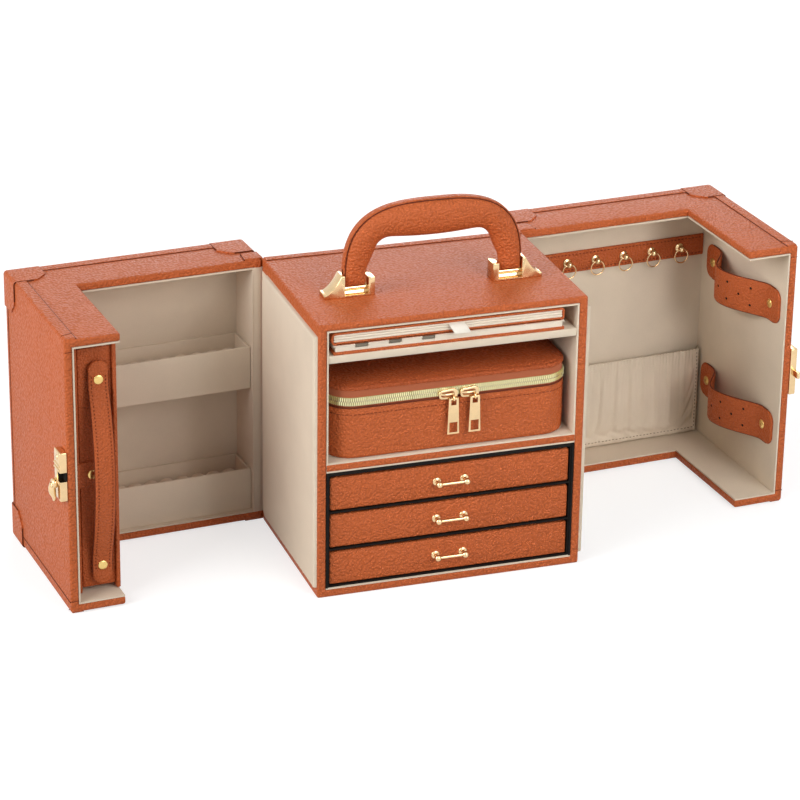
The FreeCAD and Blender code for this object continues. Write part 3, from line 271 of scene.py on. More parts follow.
def board(name, colour, shine=0.5):
    """Coated board or thread: an even tone with a fine uneven surface."""
    coat = Surface(name, Specular_IOR_Level=0.1)
    speck = coat.noise(900, 4)["Fac"]
    tone = coat.ramp(coat.noise(60, 3)["Fac"], [(0.3, 0.8), (0.7, 1.2)], colour)
    rough = coat.ramp(speck, [(0.3, shine - 0.08), (0.7, shine + 0.1)])
    return coat.finish(tone, rough, speck, 0.25, 0.1)


tan = leather("tan_leather", (0.5, 0.108, 0.026))
smooth_tan = leather("smooth_tan_leather", (0.48, 0.1, 0.024), cell=1.6, relief=0.8)
# A darker copy of the tan leather for the pouch's lid, with the shade that falls under the shelf painted into
# it.
lid_shade_tan = leather("lid_shade_tan_leather", (0.39, 0.076, 0.018), shine=0.52)
# Dark brown for the leather's painted raw edges and seams, also used as painted shade in the wallet's groove
# and along the zip.
edge_and_shade_paint = board("leather_edge_and_shade_paint", (0.13, 0.026, 0.011))
thread = board("tan_thread", (0.2, 0.042, 0.015), shine=0.6)
beige = cloth("taupe_lining", (0.7, 0.585, 0.45))
pale_beige = cloth("folder_cloth", (0.78, 0.67, 0.54), relief=0.25)
velvet = cloth("ring_velvet", (0.76, 0.62, 0.48), nap=0.8, sheen=0.4)
beige_thread = board("beige_thread", (0.3, 0.22, 0.15), shine=0.7)
ribbon_white = cloth("white_ribbon", (0.8, 0.74, 0.64), nap=0.5)
gold = metal("pale_gold", (0.78, 0.56, 0.31))
zip_gold = metal("zip_gold", (0.92, 0.87, 0.54), shine=0.3)
brass = metal("rivet_brass", (0.78, 0.55, 0.2), shine=0.28)
zip_cord = cloth("zip_cord", (0.4, 0.34, 0.15), nap=0.5)
# Dark inlays that paint the shade inside the lower folder's notches.
notch_shade = board("notch_shade", (0.2, 0.165, 0.125), shine=0.7)
# Black board, also used as painted shade inside the lock's slot and the earring straps' holes.
black = board("black_board", (0.009, 0.007, 0.006), shine=0.55)
tape = cloth("zip_tape", (0.4, 0.112, 0.05), nap=0.8, relief=0.6)


# Mesh helpers

def door_place(side):
    """From a door's own frame to the door's open place, on the right-hand side of the case."""
    opening = right_open_deg if side == "right" else left_open_deg
    turn = Matrix.Rotation(math.radians(opening - 90), 4, "Z")
    return Matrix.Translation((half_width, half_depth, 0)) @ turn


def door_matrix(side):
    """From a door's own frame to the door's open place."""
    place = door_place(side)
    return place if side == "right" else Matrix.Scale(-1, 4, (1, 0, 0)) @ place


def make(name, bm, material, side=None, sharp=38):
    """A shaded object in metres from a mesh in millimetres."""
    matrix = Matrix.Scale(MM, 4)
    if side:
        matrix = matrix @ door_matrix(side)
    bmesh.ops.transform(bm, matrix=matrix, verts=bm.verts)
    bmesh.ops.recalc_face_normals(bm, faces=bm.faces)
    mesh = bpy.data.meshes.new(name)
    bm.to_mesh(mesh)
    bm.free()
    mesh.shade_smooth()
    mesh.set_sharp_from_angle(angle=math.radians(sharp))
    mesh.materials.append(material)
    obj = bpy.data.objects.new(name, mesh)
    bpy.context.scene.collection.objects.link(obj)
    return obj


def piece(name, bm, material, body, nodes=(), side=None, sharp=38):
    """A piece that rides on a body and stands for its nodes."""
    obj = make(name, bm, material, side, sharp)
    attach(obj, body)
    if nodes:
        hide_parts(*nodes)
    return obj


def soften(bm, width, segments=3, faces=None):
    """Rounds every outward edge, of the whole mesh or of some faces."""
    bmesh.ops.recalc_face_normals(bm, faces=bm.faces)
    chosen = set(faces) if faces else set(bm.faces)
    edges = []
    for edge in bm.edges:
        if len(edge.link_faces) != 2 or not chosen.issuperset(edge.link_faces):
            continue
        if edge.is_convex and edge.calc_face_angle() > math.radians(28):
            edges.append(edge)
    bmesh.ops.bevel(
        bm, geom=edges, offset=width, segments=segments, profile=0.5, affect="EDGES", clamp_overlap=True
    )
    return bm


def block(bm, x, y, z, bevel=0.0, segments=3):
    """A block between limits, with rounded edges."""
    verts = [bm.verts.new((a, b, c)) for a in x for b in y for c in z]
    quads = [(0, 1, 3, 2), (4, 6, 7, 5), (0, 4, 5, 1), (2, 3, 7, 6), (0, 2, 6, 4), (1, 5, 7, 3)]
    faces = [bm.faces.new([verts[n] for n in quad]) for quad in quads]
    if bevel:
        soften(bm, bevel, segments, faces)
    return bm


def open_box(bm, outer, inner, axis, sign):
    """A box with one open side, named by its axis and sign, between its outer and inner limits."""
    def corners(limit):
        return {
            (i, j, k): bm.verts.new((limit[0][i], limit[1][j], limit[2][k]))
            for i in (0, 1) for j in (0, 1) for k in (0, 1)
        }
    outside = corners(outer)
    inside = corners(inner)
    for a in range(3):
        b, c = (a + 1) % 3, (a + 2) % 3
        for s in (0, 1):
            loop = []
            for p, q in ((0, 0), (1, 0), (1, 1), (0, 1)):
                key = [0, 0, 0]
                key[a], key[b], key[c] = s, p, q
                loop.append(tuple(key))
            if a == axis and s == sign:
                for near, far in zip(loop, loop[1:] + loop[:1]):
                    bm.faces.new((outside[near], outside[far], inside[far], inside[near]))
            else:
                bm.faces.new([outside[key] for key in loop])
                bm.faces.new([inside[key] for key in loop[::-1]])
    return bm


def prism(bm, outline, low, high, axis):
    """An outline carried along an axis."""
    def at(a, b, t):
        return {"x": (t, a, b), "y": (a, t, b), "z": (a, b, t)}[axis]
    return loft(bm, [[at(a, b, t) for a, b in outline] for t in (low, high)])


def loft(bm, rings, capped=True, closed=True):
    """A skin over a run of rings with the same number of points."""
    rows = [[bm.verts.new(point) for point in ring] for ring in rings]
    count = len(rows[0])
    for row, following in zip(rows, rows[1:]):
        for n in range(count if closed else count - 1):
            m = (n + 1) % count
            bm.faces.new((row[n], row[m], following[m], following[n]))
    if capped:
        bm.faces.new(rows[0][::-1])
        bm.faces.new(rows[-1])
    return bm


def circle(centre, radius, axis, sides):
    """Points round an axis."""
    axis = Vector(axis).normalized()
    guide = Vector((0, 0, 1)) if abs(axis.z) < 0.9 else Vector((1, 0, 0))
    across = axis.cross(guide).normalized()
    upward = axis.cross(across)
    points = []
    for n in range(sides):
        turn = 2 * math.pi * n / sides
        points.append(Vector(centre) + (across * math.cos(turn) + upward * math.sin(turn)) * radius)
    return points


def turned(bm, base, axis, profile, sides=24):
    """A turned form: pairs of radius and distance along an axis from its base."""
    axis = Vector(axis).normalized()
    return loft(bm, [circle(Vector(base) + axis * d, max(r, 0.02), axis, sides) for r, d in profile])


def ball(bm, centre, radius, axis, sides=20):
    """A ball, turned about an axis."""
    steps = 10
    profile = []
    for n in range(steps + 1):
        turn = math.pi * n / steps
        profile.append((radius * math.sin(turn), -radius * math.cos(turn)))
    turned(bm, centre, axis, profile, sides)


def rivet_head(bm, base, axis, radius, height):
    """A low domed head with a rolled edge."""
    turned(bm, base, axis, [
        (radius * 0.96, 0),
        (radius, height * 0.25),
        (radius * 0.97, height * 0.5),
        (radius * 0.86, height * 0.68),
        (radius * 0.6, height * 0.9),
        (radius * 0.3, height * 0.98),
        (0, height),
    ], 28)


def measured(path):
    """The distance along a path to each of its points."""
    lengths = [0.0]
    for a, b in zip(path, path[1:]):
        lengths.append(lengths[-1] + (b - a).length)
    return lengths


def point_at(path, lengths, distance):
    """The point at a distance along a path."""
    n = min(max(bisect.bisect(lengths, distance) - 1, 0), len(path) - 2)
    share = (distance - lengths[n]) / max(lengths[n + 1] - lengths[n], 1e-9)
    return path[n].lerp(path[n + 1], share)


def evenly(path, count):
    """A path's points at even steps."""
    path = [Vector(p) for p in path]
    lengths = measured(path)
    return [point_at(path, lengths, lengths[-1] * n / (count - 1)) for n in range(count)]


def tube(bm, path, radius, sides=8, closed=False):
    """A round cord along a path."""
    path = [Vector(p) for p in path]
    count = len(path)
    rings = []
    across = None
    for n, point in enumerate(path):
        before = path[n - 1] if n or closed else point
        after = path[(n + 1) % count] if n < count - 1 or closed else point
        along = (after - before).normalized()
        if across is None:
            guide = Vector((0, 0, 1)) if abs(along.z) < 0.8 else Vector((1, 0, 0))
            across = along.cross(guide)
        across = (across - along * across.dot(along)).normalized()
        upward = along.cross(across)
        ring = []
        for m in range(sides):
            turn = 2 * math.pi * m / sides
            ring.append(point + (across * math.cos(turn) + upward * math.sin(turn)) * radius)
        rings.append(ring)
    if closed:
        rings.append(rings[0])
    loft(bm, rings, capped=not closed)
    if closed:
        bmesh.ops.remove_doubles(bm, verts=bm.verts, dist=1e-5)
    return bm


def stitches(bm, path, out, pitch=stitch_pitch, length=stitch_length, radius=stitch_radius):
    """A row of stitches that stand a little out of the surface."""
    path = [Vector(p) for p in path]
    out = Vector(out).normalized()
    lengths = measured(path)
    count = max(int(lengths[-1] / pitch), 1)
    step = lengths[-1] / count
    for n in range(count):
        middle = (n + 0.5) * step
        a = point_at(path, lengths, middle - length / 2)
        b = point_at(path, lengths, middle + length / 2)
        axis = (b - a).normalized()
        rings = []
        for share, size, lift in ((0, 0.4, -0.3), (0.25, 1, 0.3), (0.75, 1, 0.3), (1, 0.4, -0.3)):
            centre = a.lerp(b, share) + out * radius * lift
            rings.append(circle(centre, radius * size, axis, 6))
        loft(bm, rings)


strap_section = [
    (-1, 0.35), (-0.965, 0.1), (-0.9, 0), (0.9, 0), (0.965, 0.1), (1, 0.35),
    (1, 0.65), (0.965, 0.9), (0.9, 1), (0.45, 1.04), (-0.45, 1.04), (-0.9, 1), (-0.965, 0.9), (-1, 0.65),
]


def strap_stations(total, corner):
    """Distances along a strap, close together where its corners are round."""
    ends = [corner * (1 - math.cos(math.pi / 2 * n / 9)) for n in range(10)]
    middle = [corner + (total - 2 * corner) * n / 60 for n in range(1, 60)]
    return ends + middle + [total - d for d in ends[::-1]]


def strap(bm, path, across, out, width, thickness, corner):
    """A flat strap with round corners whose back runs along a path."""
    path = [Vector(p) for p in path]
    lengths = measured(path)
    total = lengths[-1]
    across = Vector(across)
    rings = []
    for s in strap_stations(total, corner):
        point = point_at(path, lengths, s)
        along = point_at(path, lengths, min(s + 1, total)) - point_at(path, lengths, max(s - 1, 0))
        along.normalize()
        lift = Vector(out) - along * along.dot(Vector(out))
        lift.normalize()
        short = corner - min(s, total - s, corner)
        half = width / 2 - corner + math.sqrt(max(corner * corner - short * short, 0.06))
        rings.append([point + across * a * half + lift * b * thickness for a, b in strap_section])
    return loft(bm, rings)


def strap_line(path, across, out, side, lift):
    """A line along a strap's face, set to one side of its middle."""
    return [Vector(p) + Vector(across) * side + Vector(out) * lift for p in path]


def join(bm, other):
    """Adds another mesh to this one."""
    mesh = bpy.data.meshes.new("joined")
    bmesh.ops.recalc_face_normals(other, faces=other.faces)
    other.to_mesh(mesh)
    other.free()
    bm.from_mesh(mesh)
    bpy.data.meshes.remove(mesh)


def carved(bm, *cutters):
    """A closed form with others taken out of it."""
    made = []
    for form in (bm, *cutters):
        bmesh.ops.recalc_face_normals(form, faces=form.faces)
        mesh = bpy.data.meshes.new("form")
        form.to_mesh(mesh)
        form.free()
        obj = bpy.data.objects.new("form", mesh)
        bpy.context.scene.collection.objects.link(obj)
        made.append(obj)
    for cutter in made[1:]:
        modifier = made[0].modifiers.new("cut", "BOOLEAN")
        modifier.operation = "DIFFERENCE"
        modifier.solver = "EXACT"
        modifier.object = cutter
    graph = bpy.context.evaluated_depsgraph_get()
    result = bmesh.new()
    result.from_mesh(made[0].evaluated_get(graph).to_mesh())
    for obj in made:
        mesh = obj.data
        bpy.data.objects.remove(obj)
        bpy.data.meshes.remove(mesh)
    bmesh.ops.remove_doubles(result, verts=result.verts, dist=1e-4)
    bmesh.ops.dissolve_limit(result, angle_limit=0.01, verts=result.verts, edges=result.edges)
    return result


def arc_points(centre, radius, start_deg, end_deg, steps=8):
    """Points along an arc in a plane."""
    points = []
    for n in range(steps + 1):
        turn = math.radians(start_deg + (end_deg - start_deg) * n / steps)
        points.append((centre[0] + radius * math.cos(turn), centre[1] + radius * math.sin(turn)))
    return points


def rounded_outline(x0, x1, y0, y1, r, steps=8):
    """A rectangle with round corners, as points in its plane."""
    return (
        arc_points((x1 - r, y1 - r), r, 0, 90, steps)
        + arc_points((x0 + r, y1 - r), r, 90, 180, steps)
        + arc_points((x0 + r, y0 + r), r, 180, 270, steps)
        + arc_points((x1 - r, y0 + r), r, 270, 360, steps)
    )


# Case

def case_body():
    """The wrapped shell, the seam along its back edge, its boards, linings and pads."""
    inner = [
        (-half_width + side_board, half_width - side_board),
        (-half_depth, half_depth - base_board),
        (base_board, body_height - top_board),
    ]
    shell = open_box(bmesh.new(), limits("case_shell"), inner, 1, 0)
    piece("case_leather", soften(shell, board_round), tan, "case", ["case_shell"])
    edge = half_depth - back_wrap_width
    reach = half_width - 1
    deep = (edge, half_depth - back_wrap_sunk)
    high = (body_height - back_wrap_sunk, body_height + wrap)
    piece("case_back_wrap", block(bmesh.new(), (-reach, reach), deep, high, 0.3), tan, "case")
    seam = [(sign * (half_width - 1.5), edge, body_height + 0.1) for sign in (-1, 1)]
    piece("case_back_seam", tube(bmesh.new(), seam, 0.35), edge_and_shade_paint, "case")
    for node, material, bevel in (("slot_shelf", beige, 0.8), ("compartment_divider", tan, 1.0)):
        piece(node + "_board", block(bmesh.new(), *limits(node), bevel), material, "case", [node])
    front_bands()
    x, y, z = limits("side_pads")
    for side, sign in (("right", 1), ("left", -1)):
        made = piece("side_pad_" + side, side_pad(sign, x[1], y, z), beige, "case", ["side_pads"])
        out = sorted((sign * (half_width - 0.2), sign * (half_width + hinge_cloth)))
        strip = block(bmesh.new(), out, (y[1] - 6, half_depth - board_round), (z[0] + 1, z[1] - 1), 0.15, 2)
        piece("hinge_cloth_" + side, strip, beige, "case")


def front_bands():
    """The leather band across the divider's front, and the black lips beside the drawer housing."""
    edge = half_width - side_board
    front = lip_setback - half_depth
    z = limits("compartment_divider")[2]
    band = block(bmesh.new(), (-edge, edge), (front, front + band_depth), z, 0.5)
    piece("divider_band", band, tan, "case")
    lips = bmesh.new()
    x, _, z = limits("drawer_housing")
    for side in ((-edge, x[0] + 0.1), (x[1] - 0.1, edge)):
        block(lips, side, (front, front + lip_depth), z)
    piece("housing_lips", lips, black, "case")


def side_pad(sign, out, y, z):
    """A thin padded panel with a crowned face and clipped rear corners."""
    rings = []
    for inset, share in pad_profile:
        y0, y1, z0, z1 = y[0] + inset, y[1] - inset, z[0] + inset, z[1] - inset
        c = max(pad_clip - inset * 0.6, 0.5)
        outline = [(y0, z0), (y1 - c, z0), (y1, z0 + c), (y1, z1 - c), (y1 - c, z1), (y0, z1)]
        x = sign * (half_width + (out - half_width) * share)
        rings.append([(x, a, b) for a, b in outline])
    return loft(bmesh.new(), rings)


def drawers():
    """Leather drawer fronts and their turned pulls."""
    for n in (1, 2, 3):
        x, y, z = limits(f"drawer_{n}_front")
        front = block(bmesh.new(), x, y, z, 1.3)
        piece(f"drawer_{n}_leather", front, tan, f"drawer_{n}", [f"drawer_{n}_front"])
        pull = drawer_pull(y[0], (z[0] + z[1]) / 2)
        piece(f"drawer_{n}_handle", pull, gold, f"drawer_{n}", [f"drawer_{n}_pull"], sharp=50)


def drawer_pull(face, z):
    """Two turned posts with rosettes and round knobs, joined by a thin bar."""
    bm = bmesh.new()
    for x in (-pull_half, pull_half):
        turned(bm, (x, face, z), (0, -1, 0), pull_post)
        ball(bm, (x, face - pull_stand, z), pull_knob, (0, -1, 0), 22)
    ends = [(x, face - pull_stand, z) for x in (-pull_half, pull_half)]
    return tube(bm, ends, pull_bar, 12)


# Handle

def eased(points, rounds):
    """A run of points with its bends softened and its ends kept."""
    for _ in range(rounds):
        middle = [(a + b * 2 + c) / 4 for a, b, c in zip(points, points[1:], points[2:])]
        points = [points[0]] + middle + [points[-1]]
    return points


def handle_curves():
    """The handle's outer edge and the hand gap's edge, at even steps from the right leg to the left."""
    foot = body_height + handle_foot
    outer = []
    for n in range(181):
        c = math.cos(math.pi * n / 180)
        s = abs(math.sin(math.pi * n / 180))
        x = math.copysign(handle_half_span * abs(c) ** (2 / handle_power), c)
        outer.append((x, handle_y, foot + (handle_rise - handle_foot) * s ** (2 / handle_power)))
    foot_half = handle_half_span - handle_leg_width
    half = foot_half - handle_leg_lean
    top = body_height + handle_rise - handle_grip_height + handle_sag
    r = handle_gap_round
    gap = [(foot_half, foot), (foot_half, foot + handle_leg_straight)]
    gap += arc_points((half - r, top - r), r, 0, 90, 12)
    for n in range(1, 24):
        x = (half - r) * (1 - n / 12)
        gap.append((x, top - handle_sag * (1 - (x / (half - r)) ** 2)))
    gap += arc_points((r - half, top - r), r, 90, 180, 12)
    gap += [(-foot_half, foot + handle_leg_straight), (-foot_half, foot)]
    inner = [(x, handle_y, z) for x, z in gap]
    return evenly(outer, handle_stations), eased(evenly(inner, handle_stations), 3)


def handle_width(share, widest):
    """Half of the handle's depth at a share of the way from its outer edge to the hand."""
    flat = handle_strip_half
    if share < handle_belly:
        return flat + (widest - flat) * (1 - (1 - share / handle_belly) ** 2.6)
    return widest * (1 - ((share - handle_belly) / (1 - handle_belly)) ** 2.3) ** 0.5


def handle():
    """The padded grip, the sewn strip along its outer edge, and the seams beside the strip."""
    outer, inner = handle_curves()
    rings = []
    for n, (start, end) in enumerate(zip(outer, inner)):
        lift = math.sin(math.pi * n / (handle_stations - 1)) ** 2
        widest = (handle_leg_depth + (handle_grip_depth - handle_leg_depth) * lift) / 2
        most = handle_foot_half if n in (0, handle_stations - 1) else widest
        flank = [(min(handle_width(s, widest), most), s) for s in handle_shares]
        ring = [start.lerp(end, s) + Vector((0, -w, 0)) for w, s in flank]
        ring += [start.lerp(end, s) + Vector((0, w, 0)) for w, s in flank[-2::-1]]
        rings.append(ring)
    grip = piece("handle_padded_grip", loft(bmesh.new(), rings), tan, "handle", ["handle_grip"])
    half = handle_strip_half
    rows = []
    for point, away in handle_edge(outer, inner, strip_start_rise):
        rows.append([point + away * handle_strip * b + Vector((0, half * a, 0)) for a, b in strip_section])
    piece("handle_sewn_strip", loft(bmesh.new(), rows), tan, "handle", ["handle_edge_strip"])
    line = handle_edge(outer, inner, seam_start_rise)
    seam = bmesh.new()
    for sign in (1, -1):
        tube(seam, [p + away * 0.1 + Vector((0, sign * (half + 0.25), 0)) for p, away in line], 0.5)
    piece("handle_seam", seam, edge_and_shade_paint, "handle")


def handle_edge(outer, inner, rise):
    """The outer edge's points above a rise over the case's top, each with its way out."""
    low = body_height + rise
    return [(a, (a - b).normalized()) for a, b in zip(outer, inner) if a.z > low]


def bracket_outline():
    """The right bracket's outline in x and z, with the sweep of its wing."""
    x1 = handle_half_span - handle_leg_width - pin_end_clearance
    x0 = x1 - bracket_inner_post
    x2 = handle_half_span + pin_end_clearance
    x3 = x2 + bracket_outer_post
    x4 = x3 + bracket_wing
    z = body_height
    rise = bracket_outer_rise - bracket_wing_toe
    wing = [(x4 - bracket_wing * n / 10, z + bracket_wing_toe + rise * (n / 10) ** 1.9) for n in range(11)]
    return (
        [(x0, z), (x4, z)]
        + wing
        + [(x2, z + bracket_outer_rise), (x2, z + bracket_base), (x1, z + bracket_base)]
        + [(x1, z + bracket_inner_rise), (x0, z + bracket_inner_rise)]
    )


def brackets():
    """The two pale gold brackets that carry the handle."""
    bm = bmesh.new()
    low = handle_y - bracket_depth / 2
    for sign in (1, -1):
        prism(bm, [(sign * x, z) for x, z in bracket_outline()], low, low + bracket_depth, "y")
    piece("bracket_castings", soften(bm, 0.45, 2), gold, "case", ["handle_brackets"], sharp=45)


# Doors

def door_shell(side):
    """A door's leather: boards, turned-over edges on the ledges, corner caps and their dark edges."""
    body = f"{side}_door"
    outline = [
        (0, 0), (0, door_side_depth), (door_length, door_side_depth),
        (door_length, tip_v), (rim_u, tip_v), (rim_u, 0),
    ]
    u = door_length - door_board
    v = door_side_depth - door_board
    far = 12.0
    hollow = [
        (door_board, -far), (door_board, v), (u, v), (u, tip_v - far),
        (rim_u - far, tip_v - far), (rim_u - far, -far),
    ]
    ledges = (door_low + door_board, door_high - door_board)
    blank = prism(bmesh.new(), outline, door_low, door_high, "z")
    shell = carved(blank, prism(bmesh.new(), hollow, *ledges, "z"))
    soften(shell, board_round)
    recess = block(bmesh.new(), (-1, door_board + 0.5), (-1, hinge_cloth + 0.1), ledges)
    rim = block(bmesh.new(), (-1, rim_u), (-1, rim_clearance), (door_low - 1, door_high + 1))
    shell = carved(shell, recess, rim)
    piece(f"{body}_leather", shell, tan, body, [f"{body}_walls", f"{body}_ledges"], side)
    face = (hinge_cloth + 0.05, hinge_cloth + 0.8)
    edge = block(bmesh.new(), (-0.6, door_board + 0.3), face, ledges, 0.2, 2)
    piece(f"{body}_edge_cloth", edge, beige, body, side=side)
    ledge_wraps(side, body)
    face_seams(side, body)
    corner_caps(side, body)


def ledge_wraps(side, body):
    """The outer leather turned over onto both ledges, and the dark line of its raw edge."""
    inset = ledge_wrap_inset
    u = door_length - ledge_wrap_width
    v = door_side_depth - ledge_wrap_width
    far = door_side_depth - inset
    line = [(u, tip_v + inset), (u, v), (inset, v)]
    outline = [(inset, far), (door_length - inset, far), (door_length - inset, tip_v + inset), *line]
    across = [(door_length - 0.4, tip_v + 7.5), (u, tip_v + 10)]
    turned_over = bmesh.new()
    seam = bmesh.new()
    for face, up in ((door_high, 1), (door_low, -1)):
        prism(turned_over, outline, *sorted((face - up * 0.9, face + up * wrap)), "z")
        level = face + up * 0.1
        tube(seam, [(a, b, level) for a, b in line[::-1]], 0.42)
        tube(seam, [(a, b, level + up * wrap * 0.85) for a, b in across], 0.3)
    piece(f"{body}_turned_edge", soften(turned_over, 0.75), tan, body, side=side)
    piece(f"{body}_edge_line", seam, edge_and_shade_paint, body, side=side)


def face_seams(side, body):
    """The dark seams on the front board: beside its outer edge, above its foot and across its tip."""
    seam = bmesh.new()
    out = door_length + 0.02
    upright = door_side_depth - edge_seam_inset
    foot = door_low + foot_seam_rise
    inside = patch_reach - seam_under_cap
    tube(seam, [(out, upright, door_low + inside), (out, upright, door_high - inside)], 0.4)
    tube(seam, [(out, door_side_depth - inside, foot), (out, tip_v + 1.2, foot)], 0.4)
    across = (door_length - 0.4, door_length - door_board + 0.2)
    for z in (door_low + tip_seam_rise, door_high - tip_seam_rise):
        tube(seam, [(u, tip_v - 0.02, z) for u in across], 0.25)
    piece(f"{body}_seams", seam, edge_and_shade_paint, body, side=side)


def corner_cap():
    """One corner cap about the corner, with its three flaps reaching inwards along the axes."""
    far = patch_reach * 2
    cap = block(bmesh.new(), *[(-patch, patch_reach)] * 3, board_round + patch, 4)
    cutters = [block(bmesh.new(), *[(0, far)] * 3, board_round, 4)]
    r = patch_reach
    c = patch_clip
    skew = [(r + 1, r + 1), (r + 1, r - c), (r, r - c), (r - c, r), (r - c, r + 1)]
    for axis in "xyz":
        cutters.append(prism(bmesh.new(), skew, -far, far, axis))
    for axis in range(3):
        spans = [(-far, far)] * 3
        spans[axis] = (r - patch_trim, far)
        cutters.append(block(bmesh.new(), *spans))
    return carved(cap, *cutters)


def cap_edges():
    """Lines along the raw edges of a corner cap's three flaps, bent round the door's edges at both ends."""
    r = patch_reach - patch_trim
    clipped = patch_reach - patch_clip
    low = -patch * 0.45
    bend = arc_points((board_round, board_round), board_round - low, 225, 270, 3)
    flap = [(a, r, b) for a, b in bend]
    flap += [(clipped, r, low), (r, clipped, low)]
    flap += [(r, a, b) for a, b in bend[::-1]]
    return [
        flap,
        [(a, c, b) for a, b, c in flap],
        [(c, a, b) for a, b, c in flap],
    ]


def corner_caps(side, body):
    """Caps folded over the door's four outer corners."""
    caps = bmesh.new()
    edges = bmesh.new()
    for u, inward in ((0, 1), (door_length, -1)):
        for z, down in ((door_high, -1), (door_low, 1)):
            place = Matrix.Translation((u, door_side_depth, z)) @ Matrix.Diagonal((inward, -1, down, 1))
            cap = corner_cap()
            bmesh.ops.transform(cap, matrix=place, verts=cap.verts)
            join(caps, cap)
            for line in cap_edges():
                tube(edges, [place @ Vector(p) for p in line], 0.5)
    piece(f"{body}_caps", caps, tan, body, [f"{body}_corners"], side)
    piece(f"{body}_cap_edges", edges, edge_and_shade_paint, body, side=side)


def hinge(side):
    """The leather that bends between the case's back and the door's rear board, and its flaps."""
    body = f"{side}_door"
    sign = 1 if side == "right" else -1
    plan = []
    for a, b in hinge_inside + hinge_outside[::-1]:
        x, y = half_width + a, half_depth + b
        if b > hinge_bend:
            x, y, _ = door_place(side) @ Vector((a, b, 0))
        plan.append((sign * x, y))
    levels = (door_low, door_low + 0.4, (door_low + door_high) / 2, door_high - 0.4, door_high)
    bm = loft(bmesh.new(), [[(x, y, z) for x, y in plan] for z in levels])
    strip = make(f"{side}_hinge_leather", bm, tan)
    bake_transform(strip)
    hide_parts(f"{side}_hinge_strip")
    hinge_flaps(side, body)


def hinge_flaps(side, body):
    """The ends of the hinge's leather folded over the door's ledges, and their dark raw edges."""
    flaps = bmesh.new()
    edges = bmesh.new()
    near = -hinge_leather
    outline = [(near, 1.4), (hinge_flap, 1.4), (hinge_flap - 1.4, hinge_leaf), (near, hinge_leaf)]
    for face, up in ((door_high, 1), (door_low, -1)):
        prism(flaps, outline, *sorted((face - up * 0.4, face + up * 0.9)), "z")
        tube(edges, [(a, b, face + up * 0.4) for a, b in outline[1:]], 0.45)
    piece(f"{side}_hinge_flaps", soften(flaps, 0.3, 2), tan, body, side=side)
    piece(f"{side}_hinge_flap_edges", edges, edge_and_shade_paint, body, side=side)


# Left door's fittings

tray_wall = 2.0
tray_height = 33.0
tray_u = (7.5, 135.2)
tray_v = (4.6, room_v)
tray_floors = (106.5, room_base)
roll_count = 10
roll_drop = 9.8
roll_squash = 0.86
roll_near_end = ((0, 2.2), (0.5, 1.0), (1.5, 0.25), (4, 0))
roll_far_end = ((4, 0), (1.5, 0.25), (0, 2))


def ring_trays():
    """Two open trays with folded fabric rims, each with a ribbed ring cushion."""
    bm = bmesh.new()
    rolls = bmesh.new()
    w = tray_wall
    for floor_z in tray_floors:
        top = floor_z + tray_height
        outer = [tray_u, tray_v, (floor_z, top)]
        inner = [(tray_u[0] + w, tray_u[1] - w), (tray_v[0] + w, tray_v[1] - w), (floor_z + w, top)]
        join(bm, soften(open_box(bmesh.new(), outer, inner, 2, 1), 0.6))
        ring_cushion(rolls, floor_z)
    piece("ring_tray_card", bm, beige, "left_door", ["ring_trays"], "left")
    cushion = piece("ring_cushions", rolls, velvet, "left_door", ["ring_rolls"], "left")


def ring_cushion(bm, floor_z):
    """A foam cushion whose rolls are pressed together, rounded off at both ends."""
    gap = tray_wall + 0.3
    u0, u1 = tray_u[0] + gap, tray_u[1] - gap
    v0, v1 = tray_v[0] + gap, tray_v[1] - gap
    pitch = (u1 - u0) / roll_count
    base = floor_z + tray_wall
    r = pitch / 2
    rise = r * roll_squash
    foot = floor_z + tray_height - roll_drop - rise
    crown = [(u0, 0)]
    for n in range(roll_count):
        middle = u0 + (n + 0.5) * pitch
        for m in range(1, 13):
            turn = math.pi * (1 - m / 12)
            crown.append((middle + r * math.cos(turn), rise * math.sin(turn) ** 0.9 if m < 12 else 0))
    rings = []
    ends = [(v0 + along, drop) for along, drop in roll_near_end]
    ends += [(v1 - along, drop) for along, drop in roll_far_end]
    for v, drop in ends:
        ring = [(u1, v, base), (u0, v, base)]
        rings.append(ring + [(u, v, foot - drop + high) for u, high in crown])
    loft(bm, rings)


wallet_out = room_u - 2.6
wallet_in = wallet_out - 31.4
wallet_v = (-85.5, 33.5)
wallet_z = (8.8, 197.4)
wallet_cover = 3.0
wallet_overhang = 3.0
wallet_groove = 1.1
carry_u = 153.5
carry_back = wallet_v[0] + wallet_overhang
carry_z = (wallet_z[0] + wallet_z[1]) / 2 - 2.4
carry_length = 170.0
carry_width = 14.6
carry_thickness = 2.2
carry_bow = 13.6
carry_foot = 2.1
rivet_spacing = 142.5
rivet_radius = 3.6
snap_level = 99.6
snap_u = 158.9
snap_tab_length = 14.0
snap_tab_half = 9.5
snap_tab_rise = 1.6
snap_radius = 3.4
rivet_height = 1.3
painted_edge = 0.5


def carry_path():
    """The back of the wallet's carrying strap, from its lower end to its upper end."""
    reach = rivet_spacing / 2 - rivet_radius * 2
    rise = carry_bow - carry_foot
    radius = (reach * reach + rise * rise) / (2 * rise)
    points = []
    for n in range(81):
        z = carry_length * (n / 80 - 0.5)
        bow = carry_foot
        if abs(z) < reach:
            bow = carry_bow - radius + math.sqrt(radius * radius - z * z)
        points.append(Vector((carry_u, carry_back - bow, carry_z + z)))
    return eased(points, 4)


